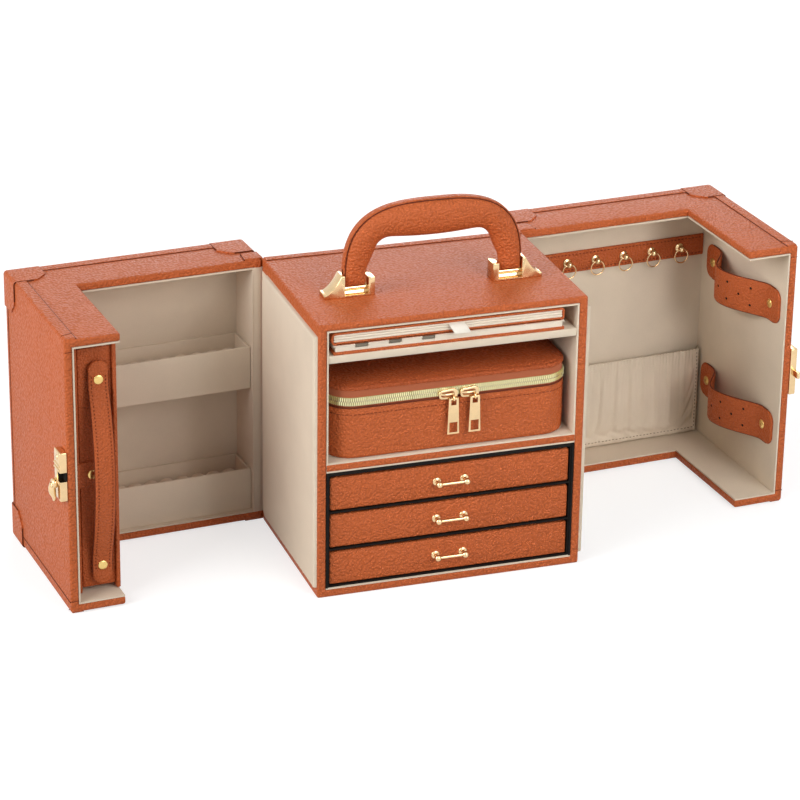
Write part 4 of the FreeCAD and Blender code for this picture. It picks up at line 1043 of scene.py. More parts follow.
def wallet():
    """The book wallet: wrapped covers, the block between them, and what is on its front."""
    covers = bmesh.new()
    for low in (wallet_in, wallet_out - wallet_cover):
        block(covers, (low, low + wallet_cover), wallet_v, wallet_z, 1.0)
    piece("wallet_boards", covers, smooth_tan, "wallet", ["wallet_covers"], "left")
    hang = wallet_overhang
    near, far = wallet_in + wallet_cover, wallet_out - wallet_cover
    back = wallet_v[1] - hang
    rows = (wallet_z[0] + hang, wallet_z[1] - hang)
    core = block(bmesh.new(), (near, far - wallet_groove), (carry_back, back), rows, 0.7)
    piece("wallet_block", core, smooth_tan, "wallet", ["wallet_box"], "left")
    # A dark block set back in the groove between the block and the outer cover, painting the groove's shade.
    groove_shade = block(bmesh.new(), (far - wallet_groove - 1, far), (carry_back + 1.6, back), rows)
    piece("wallet_groove_shade", groove_shade, edge_and_shade_paint, "wallet", side="left")
    wallet_strap(far)


def wallet_strap(far):
    """The wallet's carrying strap with its stitching and painted edges, the snap tab and the rivets."""
    out = (0, -1, 0)
    across = (1, 0, 0)
    path = carry_path()
    bm = strap(bmesh.new(), path, across, out, carry_width, carry_thickness, carry_width * 0.45)
    tab_z = (snap_level - snap_tab_half, snap_level + snap_tab_half)
    seat = carry_back + 0.3
    block(bm, (far - snap_tab_length, far + 1.5), (carry_back - snap_tab_rise, seat), tab_z, 0.6)
    block(bm, (far - 0.2, wallet_out - 0.8), (wallet_v[0] - 0.5, seat), tab_z, 0.4)
    piece("wallet_strap_leather", bm, smooth_tan, "wallet", ["wallet_straps"], "left")
    seams = bmesh.new()
    edges = bmesh.new()
    heads = bmesh.new()
    half = carry_width / 2
    for sign in (-1, 1):
        line = strap_line(path[5:-5], across, out, sign * (half - stitch_inset), carry_thickness + 0.08)
        stitches(seams, line, out, *wallet_stitch)
        line = strap_line(path[4:-4], across, out, sign * (half + 0.02), carry_thickness * 0.5)
        tube(edges, line, painted_edge)
    piece("wallet_stitching", seams, thread, "wallet", side="left")
    piece("wallet_strap_edges", edges, edge_and_shade_paint, "wallet", side="left")
    for sign in (1, -1):
        base = (carry_u, carry_back - 2.0 - carry_thickness, carry_z + sign * rivet_spacing / 2)
        rivet_head(heads, base, out, rivet_radius, rivet_height)
    rivet_head(heads, (snap_u, carry_back - 1.5, snap_level), out, snap_radius, rivet_height)
    piece("wallet_rivet_heads", heads, brass, "wallet", ["wallet_rivets"], "left", sharp=50)


lock_u = (door_length, door_length + 5.4)
lock_v = (tip_v, tip_v + 13)
lock_z = (88.5, 125.5)
lock_middle = 107.0
lever_v = -89.4
lever_z = 100.0
lever_clearance = 0.5
lever_length = 14.0
lever_boss = ((3.3, 0), (3.6, 0.4), (3.6, 2.6), (3.2, 3.2), (1.6, 3.5), (0, 3.55))
screw_v = tip_v + 6.5
screw_profile = ((1.9, 0), (1.9, 0.5), (1.5, 0.9), (0, 1.0))
slot_half = 3.5
slot_depth = 7.0
rib_rises = (8.2, 5.0, -5.0)
rib_radius = 1.1
screw_inset = 5.0


def lock():
    """The turn lock's plate with its ribs, its screw and its slot, and black walls inside the slot that paint
    its shade.
    """
    face = lock_u[1]
    plate = block(bmesh.new(), lock_u, lock_v, lock_z, 0.8)
    opening = (lock_middle - slot_half, lock_middle + slot_half)
    slot = block(bmesh.new(), (lock_u[0] - 1, face + 1), (tip_v - 1, tip_v + slot_depth), opening)
    bm = carved(plate, slot)
    for rise in rib_rises:
        rib = [(face - 0.2, v, lock_middle + rise) for v in (lock_v[0] + 1.2, lock_v[1] - 1.2)]
        tube(bm, rib, rib_radius, 12)
    turned(bm, (face - 0.4, screw_v, lock_z[1] - screw_inset), (1, 0, 0), screw_profile, 20)
    piece("lock_plate", bm, gold, "left_door", ["lock_case"], "left", sharp=50)
    # Black walls inside the slot, painted as the slot's shade.
    inside = (lock_middle - slot_half + 0.1, lock_middle + slot_half - 0.1)
    end = tip_v + slot_depth + 0.2
    dark = block(bmesh.new(), (lock_u[0], lock_u[0] + 1.2), (tip_v + 0.4, end), inside)
    block(dark, (lock_u[0], face - 0.8), (end - 0.8, end), inside)
    piece("lock_slot_shade", dark, black, "left_door", side="left")
    piece("lock_thumb_lever", thumb_lever(face + 0.3), gold, "lock_lever", ["lock_lever"], "left", sharp=60)


def thumb_lever(face):
    """The lock's lever: a turned boss with a fat thumb piece hanging from it."""
    bm = turned(bmesh.new(), (face, lever_v, lever_z), (1, 0, 0), lever_boss, 28)
    rings = []
    for n in range(13):
        t = n / 12
        z = lever_z + 0.8 - lever_length * t
        high = 4.4 + 2.0 * math.sin(math.pi * min(t * 1.15, 1)) - 1.6 * t
        middle = (high + lever_clearance) / 2
        thick = (high - lever_clearance) / 2
        half = 2.4 + 1.0 * math.sin(math.pi * t) if t < 0.75 else 3.1 * math.cos((t - 0.75) * 4.6) + 0.2
        ring = []
        for m in range(12):
            turn = 2 * math.pi * m / 12
            ring.append((face + middle + thick * math.cos(turn), lever_v + half * math.sin(turn), z))
        rings.append(ring)
    return loft(bm, rings)


def hasp():
    """The lock's other half on the right door, with its tongue and two screw heads."""
    bm = block(bmesh.new(), lock_u, lock_v, lock_z, 0.8)
    middle = (lock_u[0] + lock_u[1]) / 2
    tongue = (tip_v - 8.5, tip_v + 0.8)
    block(bm, (middle - 1.2, middle + 1.2), tongue, (lock_middle - 2.5, lock_middle + 2.5), 0.5)
    for z in (lock_z[0] + screw_inset, lock_z[1] - screw_inset):
        turned(bm, (lock_u[1] - 0.3, screw_v, z), (1, 0, 0), screw_profile, 20)
    piece("hasp_casting", bm, gold, "right_door", ["hasp_plate"], "right", sharp=50)


# Right door's fittings

hook_count = 6
hook_pitch = 24.0
hook_first = room_u - 21.6 - (hook_count - 1) * hook_pitch
hook_level = 164.5
hook_strip_height = 17.0
hook_strip_end = 11.0
hook_strip_face = room_v - 1.8
bead_v = hook_strip_face - 4.4
ring_radius = 5.6
ring_wire = 0.55
stud_profile = (
    (3.5, -0.2), (3.6, 0.3), (3.4, 0.7), (2.6, 1.0), (1.5, 1.3), (1.3, 2.0), (1.7, 2.5),
    (2.3, 3.2), (2.55, 4.2), (2.4, 5.2), (1.8, 6.1), (0.9, 6.7), (0, 6.85),
)


def hooks():
    """The stitched strip, the turned studs and the wire rings."""
    u0 = hook_first - hook_strip_end
    u1 = room_u - 0.3
    half = hook_strip_height / 2
    levels = (hook_level - half, hook_level + half)
    bm = block(bmesh.new(), (u0, u1), (hook_strip_face, room_v), levels, 0.6)
    piece("hook_strip_leather", bm, smooth_tan, "right_door", ["hook_strip"], "right")
    out = (0, -1, 0)
    rows = bmesh.new()
    for z in (levels[0] + stitch_inset, levels[1] - stitch_inset):
        stitches(rows, [(u, hook_strip_face - 0.05, z) for u in (u0 + 2, u1 - 2)], out, *hook_stitch)
    piece("hook_strip_stitching", rows, thread, "right_door", side="right")
    studs = bmesh.new()
    for n in range(hook_count):
        u = hook_first + n * hook_pitch
        turned(studs, (u, hook_strip_face, hook_level), out, stud_profile, 26)
        wire = circle((u, bead_v, hook_level - ring_radius), ring_radius, (0, 1, 0), 40)
        hoop = tube(bmesh.new(), wire, ring_wire, 8, closed=True)
        piece(f"wire_ring_{n + 1}", hoop, gold, f"ring_{n + 1}", [f"hook_ring_{n + 1}"], "right", sharp=80)
    piece("hook_stud_turnings", studs, gold, "right_door", ["hook_studs"], "right", sharp=60)


strap_levels = (156.4, 57.5)
strap_width = 27.0
strap_thickness = 2.0
strap_corner = 7.0
strap_near = room_v - 21.9
strap_far = tip_v + 24.6
strap_near_tab = 10.0
strap_far_tab = 17.0
strap_bow = 19.5
strap_rise = 38.0
strap_hole_radius = 1.1
strap_hole_spread = 6.8
strap_hole_shares = (0.52, 0.63, 0.74, 0.84)


def earring_path(level):
    """The back of an earring strap, from its end by the corner to its end by the door's tip."""
    near_end = strap_near + strap_near_tab
    near = strap_near - strap_near_tab * 0.6
    crest = near - strap_rise
    far_end = strap_far - strap_far_tab
    points = []
    for n in range(121):
        v = near_end + (far_end - near_end) * n / 120
        bow = 0
        if near >= v > crest:
            bow = strap_bow * math.sin(math.pi / 2 * (near - v) / (near - crest)) ** 2
        elif crest >= v >= strap_far:
            bow = strap_bow * math.sin(math.pi / 2 * (v - strap_far) / (crest - strap_far)) ** 1.25
        points.append(Vector((room_u - 0.05 - bow, v, level)))
    return eased(points, 5)


def strap_back(path, v):
    """A point of an earring strap's back at a distance from the corner, and the way out of its face."""
    for a, b in zip(path, path[1:]):
        if a.y >= v >= b.y:
            along = (b - a).normalized()
            return a.lerp(b, (a.y - v) / (a.y - b.y)), Vector((along.y, -along.x, 0))
    return path[-1], Vector((-1, 0, 0))


def earring_straps():
    """Two bowed straps with painted edges and punched holes, held by domed rivets."""
    bm = bmesh.new()
    holes = bmesh.new()
    heads = bmesh.new()
    edges = bmesh.new()
    out = (-1, 0, 0)
    across = (0, 0, 1)
    for level in strap_levels:
        path = earring_path(level)
        one = strap(bmesh.new(), path, across, out, strap_width, strap_thickness, strap_corner)
        join(bm, carved(one, strap_punches(path, holes)))
        for sign in (1, -1):
            side = sign * (strap_width / 2 + 0.02)
            tube(edges, strap_line(path[9:-8], across, out, side, strap_thickness * 0.5), painted_edge)
        for v in (strap_near, strap_far - rivet_radius):
            rivet_head(heads, (room_u - strap_thickness, v, level), out, rivet_radius, rivet_height)
    piece("earring_strap_leather", bm, smooth_tan, "right_door", ["earring_straps"], "right", sharp=50)
    piece("earring_strap_edges", edges, edge_and_shade_paint, "right_door", side="right")
    # Dark discs painted as the shade inside the punched holes.
    piece("earring_strap_hole_shade", holes, black, "right_door", side="right")
    piece("earring_rivet_heads", heads, brass, "right_door", ["earring_rivets"], "right", sharp=50)


def strap_punches(path, holes):
    """The forms that punch a strap's holes, in ones and twos. Dark discs painted as the shade inside the
    holes go into a second mesh.
    """
    punches = bmesh.new()
    r = strap_hole_radius
    for n, share in enumerate(strap_hole_shares):
        back, face = strap_back(path, strap_near - (strap_near - strap_far) * share)
        for row in ((0,) if n % 2 == 0 else (-strap_hole_spread, strap_hole_spread)):
            middle = back + Vector((0, 0, row))
            turned(punches, middle - face * strap_thickness, face, [(r, 0), (r, strap_thickness * 3)], 16)
            # A dark disc inside the hole, painting its shade.
            shade_profile = [(r + 0.2, 0), (r + 0.2, strap_thickness * 0.5)]
            turned(holes, middle + face * strap_thickness * 0.3, face, shade_profile, 16)
    return punches


pocket_u = (7.8, room_u - 0.5)
pocket_z = (8.5, 79.0)
pocket_foot = 9.0
pocket_top = 8.2
pocket_pleats = 58
pocket_folds = 13
pocket_spare = 0.015
pocket_edge = 3.0
pocket_held = 8
pocket_held_foot = 4
pocket_held_top = 6
pocket_columns = 241
pocket_rows = 48
pocket_cloth = 0.7
hem_radius = 0.6
settling_steps = 24
settling_unit = 0.01
settling_gravity = 0.25
settling_cloth = {
    "quality": 6, "mass": 0.2, "tension_stiffness": 12, "compression_stiffness": 12, "shear_stiffness": 4,
    "bending_stiffness": 0.4, "shrink_min": -pocket_spare, "vertex_group_mass": "held",
}


def pocket_sheet():
    """The pocket's cloth before it settles: fine pleats under the hem, and a few soft folds below them."""
    points = []
    wide = pocket_u[1] - pocket_u[0]
    for j in range(pocket_rows):
        s = j / (pocket_rows - 1)
        z = pocket_z[0] + (pocket_z[1] - pocket_z[0]) * s
        for i in range(pocket_columns):
            t = i / (pocket_columns - 1)
            u = pocket_u[0] + wide * t
            side = min(min(t, 1 - t) * wide / pocket_edge, 1)
            foot = min(z - pocket_z[0], 1)
            depth = pocket_foot + (pocket_top - pocket_foot) * s
            wave = 2 * math.pi * pocket_folds * t + 1.9 * math.sin(7 * t + 1) + 0.6 * s
            fold = math.sin(wave) + 0.45 * math.sin(2 * wave) + 0.2 * math.sin(3 * wave)
            fold = fold * 0.62 * (0.5 + 0.5 * t) * math.sin(math.pi * min(0.12 + 0.76 * s, 1))
            pleat = math.sin(2 * math.pi * pocket_pleats * t + 2 * math.sin(9 * t))
            pleat = pleat * 0.5 * max(0.0, (s - 0.82) / 0.18) ** 0.8
            v = room_v - 0.8 - side * math.sin(math.pi / 2 * foot) * (depth - 0.8 + fold + pleat)
            points.append((u, v, z))
    return points


def pocket_quads():
    """The pocket's faces, as the numbers of their points."""
    quads = []
    for j in range(pocket_rows - 1):
        for i in range(pocket_columns - 1):
            a = j * pocket_columns + i
            quads.append((a, a + 1, a + pocket_columns + 1, a + pocket_columns))
    return quads


def pocket_held_points():
    """The numbers of the points that are sewn down: along the foot, the hem and both sides."""
    held = []
    for j in range(pocket_rows):
        sewn = j < pocket_held_foot or j >= pocket_rows - pocket_held_top
        for i in range(pocket_columns):
            if sewn or i < pocket_held or i >= pocket_columns - pocket_held:
                held.append(j * pocket_columns + i)
    return held


def settled(points):
    """Lets the pocket's cloth, with some spare width, settle between its sewn points."""
    mesh = bpy.data.meshes.new("settling")
    mesh.from_pydata([Vector(p) * settling_unit for p in points], [], pocket_quads())
    obj = bpy.data.objects.new("settling", mesh)
    scene = bpy.context.scene
    scene.collection.objects.link(obj)
    obj.vertex_groups.new(name="held").add(pocket_held_points(), 1.0, "REPLACE")
    modifier = obj.modifiers.new("cloth", "CLOTH")
    for name, value in settling_cloth.items():
        setattr(modifier.settings, name, value)
    modifier.settings.effector_weights.gravity = settling_gravity
    modifier.point_cache.frame_start = 1
    modifier.point_cache.frame_end = settling_steps
    for step in range(1, settling_steps + 1):
        scene.frame_set(step)
    graph = bpy.context.evaluated_depsgraph_get()
    result = [v.co / settling_unit for v in obj.evaluated_get(graph).data.vertices]
    bpy.data.objects.remove(obj)
    bpy.data.meshes.remove(mesh)
    scene.frame_set(1)
    return result


def pocket():
    """The gathered pocket, its elastic hem and its sewn edges."""
    points = pocket_sheet()
    points = settled(points)
    bm = bmesh.new()
    verts = []
    for u, v, z in points:
        verts.append(bm.verts.new((u, max(min(v, room_v - 0.7), room_v - 14), z)))
    for quad in pocket_quads():
        bm.faces.new([verts[n] for n in quad])
    sheet = piece("pocket_cloth", bm, beige, "right_door", ["gathered_pocket"], "right", sharp=180)
    thick = sheet.modifiers.new("thickness", "SOLIDIFY")
    thick.thickness = pocket_cloth * MM
    thick.offset = 0
    top = points[-pocket_columns:][4:-4]
    hem = tube(bmesh.new(), [(u, v, z - 0.2) for u, v, z in top], hem_radius)
    hem_piece = piece("pocket_hem", hem, beige, "right_door", side="right", sharp=80)
    rows = bmesh.new()
    first = 3 * pocket_columns
    foot = points[first + 6:first + pocket_columns - 6]
    end = [points[(j + 1) * pocket_columns - 7] for j in range(3, pocket_rows - 1)]
    for line in (foot, end):
        stitches(rows, [(u, v - 0.45, z) for u, v, z in line], (0, -1, 0), *pocket_stitch)
    piece("pocket_stitching", rows, beige_thread, "right_door", side="right")


# Zip pouch

pouch_corner = 20.0
pouch_low = limits("pouch_base")[2][0]
pouch_rim = limits("pouch_base")[2][1]
zip_top = limits("pouch_zip")[2][1]
lid_top = limits("pouch_lid")[2][1]
teeth_low = pouch_rim + 2.2
teeth_high = teeth_low + 6.2
teeth_middle = (teeth_low + teeth_high) / 2
tooth_pitch = 1.5
tooth_rows = ((1, 0), (-1, 0.5))
tooth_profile = ((2.9, 0.5, 0.45), (1.4, 0.5, 0.8), (-0.3, 0.34, 0.45))
seam_drop = 4.5
tub_profile = (
    (3.5, pouch_low), (1.6, pouch_low + 0.25), (0.5, pouch_low + 1.0), (0.1, pouch_low + 2.2),
    (0, pouch_low + 4), (0, pouch_low + 12), (0, pouch_low + 24), (0, pouch_rim - 3),
    (0.05, pouch_rim - 0.7), (0.3, pouch_rim - 0.2), (0.8, pouch_rim), (3, pouch_rim), (3, pouch_rim - 30),
)
tape_profile = (
    (2.2, pouch_rim - 0.5), (0.9, pouch_rim - 0.3), (0.8, teeth_low),
    (0.8, teeth_high), (0.9, zip_top + 0.3), (2.2, zip_top + 0.5),
)
cord_profile = ((2.0, teeth_low - 0.2), (0.6, teeth_low), (0.6, teeth_high), (2.0, teeth_high + 0.2))
lid_profile = (
    (2.5, zip_top - 0.2), (0.9, zip_top), (0.25, zip_top + 0.4), (0, zip_top + 1.2), (0.15, zip_top + 2.2),
    (0.7, zip_top + 2.9), (1.5, zip_top + 3.2), (2.0, zip_top + 3.05), (2.6, zip_top + 3.25),
    (4.0, zip_top + 3.9), (9, zip_top + 4.5), (20, lid_top + 0.25), (40, lid_top + 0.4),
)


def pouch_ring(inset, z):
    """A ring round the pouch's plan, set in all round, at a height."""
    (x0, x1), (y0, y1), _ = limits("pouch_base")
    r = max(pouch_corner - inset, 1)
    outline = rounded_outline(x0 + inset, x1 - inset, y0 + inset, y1 - inset, r, 12)
    return [(x, y, z) for x, y in outline]


def pouch_form(profile):
    """A form round the pouch's plan, from pairs of inset and height."""
    return loft(bmesh.new(), [pouch_ring(inset, z) for inset, z in profile])


def pouch():
    """The leather tub, the lid in a darker copy of the leather that paints its shade, the zip's tapes and
    teeth with dark lines painted as shade below and between them, and the stitching below the zip.
    """
    piece("pouch_tub", pouch_form(tub_profile), tan, "pouch", ["pouch_base"])
    piece("pouch_zip_tape", pouch_form(tape_profile), tape, "pouch", ["pouch_zip"])
    piece("pouch_zip_teeth", zip_teeth(), zip_gold, "pouch", sharp=30)
    piece("pouch_zip_cord", pouch_form(cord_profile), zip_cord, "pouch")
    # Dark lines painted as shade: one under the teeth where the tape meets the tub, and one between the two
    # rows of teeth.
    edges = tube(bmesh.new(), pouch_ring(0.45, pouch_rim + 0.7), 0.7, closed=True)
    tube(edges, pouch_ring(0.12, teeth_middle), 0.35, closed=True)
    piece("pouch_zip_painted_shade", edges, edge_and_shade_paint, "pouch")
    # The lid wears the darker copy of the tan leather, which paints the shade that falls on it.
    lid = piece("pouch_padded_lid", pouch_form(lid_profile), lid_shade_tan, "pouch", ["pouch_lid"])
    piece("pouch_stitching", pouch_stitches(pouch_rim - seam_drop), thread, "pouch")


def pouch_path(inset, z):
    """A closed path round the pouch, and the distance along it to each of its points."""
    ring = [Vector(p) for p in pouch_ring(inset, z)]
    path = ring + ring[:1]
    return path, measured(path)


def pouch_stitches(z):
    """Stitches all round the pouch at a height."""
    bm = bmesh.new()
    path, lengths = pouch_path(0, z)
    count = int(lengths[-1] / stitch_pitch)
    for n in range(count):
        a = point_at(path, lengths, lengths[-1] * n / count)
        b = point_at(path, lengths, lengths[-1] * n / count + stitch_length)
        tube(bm, [a, a.lerp(b, 0.5), b], stitch_radius, 6)
    return bm


def zip_teeth():
    """Two rows of interlocking teeth round the pouch."""
    bm = bmesh.new()
    path, lengths = pouch_path(0.3, 0)
    count = int(lengths[-1] / tooth_pitch)
    for n in range(count):
        for row, offset in tooth_rows:
            along = lengths[-1] * n / count + offset * tooth_pitch
            a = point_at(path, lengths, along % lengths[-1])
            b = point_at(path, lengths, (along + 0.2) % lengths[-1])
            step = (b - a).normalized()
            outward = Vector((step.y, -step.x, 0))
            rings = []
            for rise, half, deep in tooth_profile:
                corner = [(-half, -0.6), (half, -0.6), (half * 0.7, deep), (-half * 0.7, deep)]
                place = Vector((a.x, a.y, teeth_middle + row * rise))
                rings.append([place + step * s + outward * d for s, d in corner])
            loft(bm, rings)
    return bm


slider_thickness = 1.8
slider_high = 4.6
slider_rim = 2.0
sunk_high = 2.7
sunk_shift = 0.4
sunk_depth = 0.8
loop_wire = 0.75
bridge_wire = 0.95
pull_pivot = 0.65
pull_length = 27.6
pull_head_half = 3.65
pull_foot_half = 4.6
pull_thickness = 1.5


def slider_face(centre, half, mid_z, high):
    """A slider's outline: a round nose, pinched shoulders and a broad tail."""
    outline = []
    for n in range(36):
        turn = 2 * math.pi * n / 36
        c, s = math.cos(turn), math.sin(turn)
        waist = 1 - 0.2 * math.exp(-((c + 0.15) * 2.6) ** 2) - 0.16 * max(-c, 0)
        a = centre + half * math.copysign(abs(c) ** 0.62, c)
        outline.append((a, mid_z + high * waist * math.copysign(abs(s) ** 0.72, s)))
    return outline


def sliders():
    """The zip's two sliders, each with a sunk face under a bridge, and their pulls."""
    for side in ("left", "right"):
        x, y, z = limits(f"pouch_slider_{side}")
        front = y[1] - slider_thickness
        mid_z = (z[0] + z[1]) / 2 + 0.2
        half = (x[1] - x[0]) / 2
        centre = (x[0] + x[1]) / 2
        pull_x, pull_y, pull_z = limits(f"pouch_pull_{side}")
        pivot = Vector(((pull_x[0] + pull_x[1]) / 2, (pull_y[0] + pull_y[1]) / 2, pull_z[1] - pull_pivot))
        plate = prism(bmesh.new(), slider_face(centre, half, mid_z, slider_high), front, y[1], "y")
        sunk = slider_face(centre - sunk_shift, half - slider_rim, mid_z, sunk_high)
        hollow = prism(bmesh.new(), sunk, front - 1, front + sunk_depth, "y")
        bm = carved(soften(plate, 0.45, 2), hollow)
        loop = []
        bridge = []
        for n in range(13):
            turn = math.pi * n / 12
            loop.append((pivot.x, front - 0.3 - 2.6 * math.sin(turn), pivot.z + 0.5 + 2.0 * math.cos(turn)))
            along = x[0] + 1.6 + (pivot.x - x[0] - 1.2) * n / 12
            bridge.append((along, front + 0.3 - 1.3 * math.sin(turn) ** 0.6, mid_z + 0.6))
        tube(bm, loop, loop_wire, 10)
        tube(bm, bridge, bridge_wire, 10)
        body = f"zip_slider_{side}"
        piece(f"zip_slider_casting_{side}", bm, gold, body, [f"pouch_slider_{side}"], sharp=50)
        floor_face = slider_face(centre - sunk_shift, half - slider_rim - 0.1, mid_z, sunk_high - 0.1)
        bed = prism(bmesh.new(), floor_face, front + sunk_depth - 0.1, front + sunk_depth + 0.4, "y")
        piece(f"zip_slider_bed_{side}", bed, tape, body)
        zip_pull(side, *pivot)


def zip_pull(side, x, y, z):
    """A flat tapered pull with a bar at its head and a window at its foot."""
    top = z + pull_pivot
    foot = top - pull_length
    head = pull_head_half
    tail = pull_foot_half
    outline = [(x - head, top), (x + head, top), (x + tail, foot), (x - tail, foot)]
    blade = prism(bmesh.new(), outline, y - pull_thickness / 2, y + pull_thickness / 2, "y")
    through = (y - 3, y + 3)
    eye = block(bmesh.new(), (x - 1.95, x + 1.95), through, (top - 5.2, top - 1.3))
    window = block(bmesh.new(), (x - 3.0, x + 3.0), through, (foot + 1.5, foot + 9.2))
    bm = carved(soften(blade, 0.4, 2), eye, window)
    piece(f"zip_pull_blade_{side}", bm, gold, f"zip_pull_{side}", [f"pouch_pull_{side}"], sharp=30)


# Folders

folder_leather = 1.6
folder_end = 2.4
folder_corner = 3.4
folder_thick_cover = 2.4
notch_count = 3
first_notch = 14.3
notch_pitch = 24.6
notch_width = 9.8
notch_drop = 1.4
notch_taper = 1.6
ribbon_middle = 1.6
ribbon_width = 12.0
ribbon_slant = 0.5
ribbon_thickness = 0.35
ribbon_facing = (0, -0.4, 0.9)
ribbon_fall = ((-14, 0), (-1, 0), (2.0, 0.5), (4.2, 1.7), (5.6, 3.2), (6.1, 4.4), (6.2, 5.4))
folder_lid = 0.9
leaf_count = 3


def upper_folder():
    """The upper folder's cover, wrapped round its left end, and what the cover holds."""
    x, y, z = limits("upper_folder_cover")
    c = folder_leather
    e = folder_end
    r = folder_corner
    rings = []
    for inset, depth in ((0, y[0]), (0, y[1]), (c, y[1]), (c, y[0]), (0, y[0])):
        outline = arc_points((x[1] - e, z[1] - e), e - inset, 0, 90, 6)
        outline += arc_points((x[0] + r, z[1] - r), r - inset, 90, 180, 8)
        outline += arc_points((x[0] + r, z[0] + r), r - inset, 180, 270, 8)
        outline += arc_points((x[1] - e, z[0] + e), e - inset, 270, 360, 6)
        rings.append([(a, depth, b) for a, b in outline])
    bm = loft(bmesh.new(), rings, capped=False)
    bmesh.ops.remove_doubles(bm, verts=bm.verts, dist=1e-4)
    soften(bm, 0.5)
    block(bm, (x[0] + r, x[1] - e), y, (z[0] + 0.1, z[0] + folder_thick_cover), 0.5)
    piece("upper_folder_leather", bm, tan, "upper_folder", ["upper_folder_cover"])
    folder_leaves(x, y, z)


def folder_leaves(x, y, z):
    """The padded leaves within the upper cover's limits, and the ribbon that hangs out between them."""
    px, py, pz = limits("upper_folder_pages")
    low = z[0] + folder_thick_cover - 0.2
    leaf = (pz[1] - low) / leaf_count
    span = (x[0] + folder_leather + 0.2, min(px[1], x[1] - folder_leather - 0.1))
    bm = bmesh.new()
    for n in range(leaf_count):
        rows = (low + n * leaf + 0.05, low + (n + 1) * leaf - 0.05)
        block(bm, span, (py[0] - 0.5 + 0.2 * n, py[1]), rows, 0.8)
    pages = piece("upper_folder_leaves", bm, pale_beige, "upper_folder", ["upper_folder_pages"])
    path = []
    for out, drop in ribbon_fall:
        path.append((ribbon_middle + ribbon_slant * drop, y[0] - out, pz[1] - leaf * 0.5 - drop))
    path = evenly(path, 40)
    ribbon = strap(bmesh.new(), path, (1, 0, 0), ribbon_facing, ribbon_width, ribbon_thickness, 0.4)
    piece("folder_ribbon", ribbon, ribbon_white, "upper_folder")


def lower_folder():
    """The lower folder: its leather base, its cloth top and dark inlays that paint the shade of the notches
    along its front.
    """
    x, y, z = limits("lower_folder_cover")
    tray_x, tray_y, _ = limits("lower_folder_tray")
    front = min(y[0], tray_y[0])
    base = block(bmesh.new(), x, (front - 0.3, y[1]), (z[0], z[0] + folder_thick_cover), 0.6)
    piece("lower_folder_leather", base, tan, "lower_folder", ["lower_folder_cover"])
    top = block(bmesh.new(), x, y, (z[1] - folder_lid, z[1]), 0.35)
    piece("lower_folder_lid", top, pale_beige, "lower_folder", ["lower_folder_cover"])
    # Dark inlays on the front, painted as the shade inside the notches.
    bm = bmesh.new()
    low = z[1] - folder_lid - notch_drop
    for n in range(notch_count):
        a = tray_x[0] + first_notch + n * notch_pitch
        b = a + notch_width
        outline = [(a + notch_taper, low), (b - notch_taper, low), (b, z[1]), (a, z[1])]
        prism(bm, outline, front - 0.06, tray_y[0] + 1.3, "y")
    piece("lower_folder_notch_shade", bm, notch_shade, "lower_folder")


# Scene

floor_reach = 9000.0
# The floor's glow, as a distance in metres and a level
glow_from = (0.6, 0.64)
glow_to = (2.6, 0.86)
surround_tone = (0.95, 0.97, 1.0, 1)
surround_strength = 0.34
white_tone = (1, 1, 1, 1)
case_middle = (0, 0, 0.1)
right_door_inside = (0.18, 0.1, 0.17)
# Each lamp's name, place, target, size, power and spread in degrees
lamps = (
    ("key", (0.66, -1.42, 0.98), case_middle, 1.1, 14.5, 180),
    ("left", (-1.96, -0.6, 1.144), case_middle, 1.5, 44, 180),
    ("right", (0.5, -1.5, 0.75), right_door_inside, 0.5, 0.15, 18),
    ("rear", (0.685, 1.996, 1.12), case_middle, 1.2, 19, 180),
)


def carried_over():
    """Finishes for the CAD nodes that stay in view."""
    finish = {
        "case_lining": beige, "left_door_lining": beige, "right_door_lining": beige,
        "drawer_housing": black, "handle_pins": gold, "lower_folder_tray": pale_beige,
        "drawer_1_box": beige, "drawer_2_box": beige, "drawer_3_box": beige,
    }
    for node, material in finish.items():
        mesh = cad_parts[node].data
        mesh.materials.clear()
        mesh.materials.append(material)


def seen_directly(tree):
    """Whether a ray is the camera's own or comes off a glossy surface, and the light path's outputs."""
    path = add(tree, "LightPath").outputs
    rays = {0: path["Is Camera Ray"], 1: path["Is Glossy Ray"]}
    return add(tree, "Math", rays, operation="MAXIMUM").outputs["Value"], path


def floor():
    """A white studio floor that keeps the case's shadow and looks white to the camera, also far away."""
    surface = Surface("studio_floor", Roughness=0.9, Specular_IOR_Level=0.0)
    surface.bsdf.inputs["Base Color"].default_value = (0.5, 0.5, 0.5, 1)
    tree = surface.tree
    base = surface.bsdf.outputs["BSDF"]
    away = add(tree, "VectorMath", {0: surface.place}, operation="LENGTH").outputs["Value"]
    span = {"From Min": glow_from[0], "From Max": glow_to[0], "To Min": glow_from[1], "To Max": glow_to[1]}
    level = add(tree, "MapRange", {"Value": away, **span})
    glow = add(tree, "Emission", {"Color": white_tone, "Strength": level.outputs["Result"]})
    both = add(tree, "AddShader", {0: base, 1: glow.outputs["Emission"]})
    mix = add(tree, "MixShader", {0: seen_directly(tree)[0], 1: base, 2: both.outputs["Shader"]})
    tree.links.new(mix.outputs["Shader"], tree.nodes["Material Output"].inputs["Surface"])
    r = floor_reach
    plane = loft(bmesh.new(), [[(-r, y, 0), (r, y, 0)] for y in (-r, r)], False, False)
    make("studio_floor", plane, surface.material)


def lamp(name, place, target, size, power, spread):
    """A soft square lamp aimed at a point."""
    data = bpy.data.lights.new(name, "AREA")
    data.spread = math.radians(spread)
    data.shape = "SQUARE"
    data.size = size
    data.energy = power
    obj = bpy.data.objects.new(name, data)
    bpy.context.scene.collection.objects.link(obj)
    obj.location = place
    obj.rotation_euler = (Vector(target) - Vector(place)).to_track_quat("-Z", "Y").to_euler()


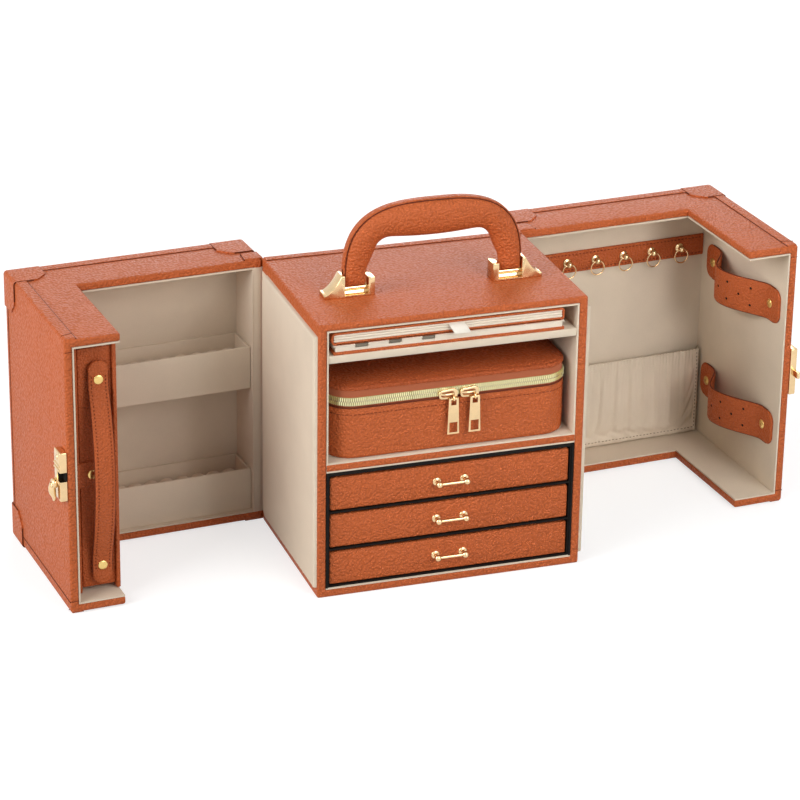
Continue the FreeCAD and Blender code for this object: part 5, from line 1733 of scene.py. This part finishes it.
def lighting():
    """Soft light from the front right, the left and behind, a faint fill, and a white surround."""
    for settings in lamps:
        lamp(*settings)
    world = bpy.data.worlds.new("studio")
    bpy.context.scene.world = world
    world.use_nodes = True
    tree = world.node_tree
    seen, path = seen_directly(tree)
    shown = add(tree, "Math", {0: seen, 1: path["Is Transmission Ray"]}, operation="MAXIMUM")
    soft = add(tree, "Background", {"Color": surround_tone, "Strength": surround_strength})
    white = add(tree, "Background", {"Color": white_tone, "Strength": 1.0})
    mix = add(tree, "MixShader", {
        0: shown.outputs["Value"], 1: soft.outputs["Background"], 2: white.outputs["Background"],
    })
    tree.links.new(mix.outputs["Shader"], tree.nodes["World Output"].inputs["Surface"])
    bpy.context.scene.view_settings.view_transform = "Standard"


camera_azimuth = -18.94
camera_elevation = 23.40
camera_roll = 0.89
camera_distance = 2.374
camera_side = -0.0153
camera_height = 0.1135
camera_lens = 146.8
sensor = 36.0


def camera():
    """The camera at the photograph's viewing angle."""
    a = math.radians(camera_azimuth)
    e = math.radians(camera_elevation)
    roll = math.radians(camera_roll)
    back = Vector((math.sin(a) * math.cos(e), -math.cos(a) * math.cos(e), math.sin(e)))
    right = Vector((math.cos(a), math.sin(a), 0))
    up = back.cross(right)
    across = right * math.cos(roll) + up * math.sin(roll)
    upward = up * math.cos(roll) - right * math.sin(roll)
    target = right * camera_side + Vector((0, 0, camera_height))
    data = bpy.data.cameras.new("camera")
    data.lens = camera_lens
    data.sensor_width = sensor
    data.clip_end = 60
    obj = bpy.data.objects.new("camera", data)
    bpy.context.scene.collection.objects.link(obj)
    turn = Matrix((across, upward, back)).transposed().to_4x4()
    obj.matrix_world = Matrix.Translation(target + back * camera_distance) @ turn
    bpy.context.scene.camera = obj


camera()
lighting()
floor()
carried_over()
case_body()
drawers()
handle()
brackets()
for door_side in ("left", "right"):
    door_shell(door_side)
    hinge(door_side)
ring_trays()
wallet()
lock()
hasp()
hooks()
earring_straps()
pocket()
pouch()
sliders()
upper_folder()
lower_folder()
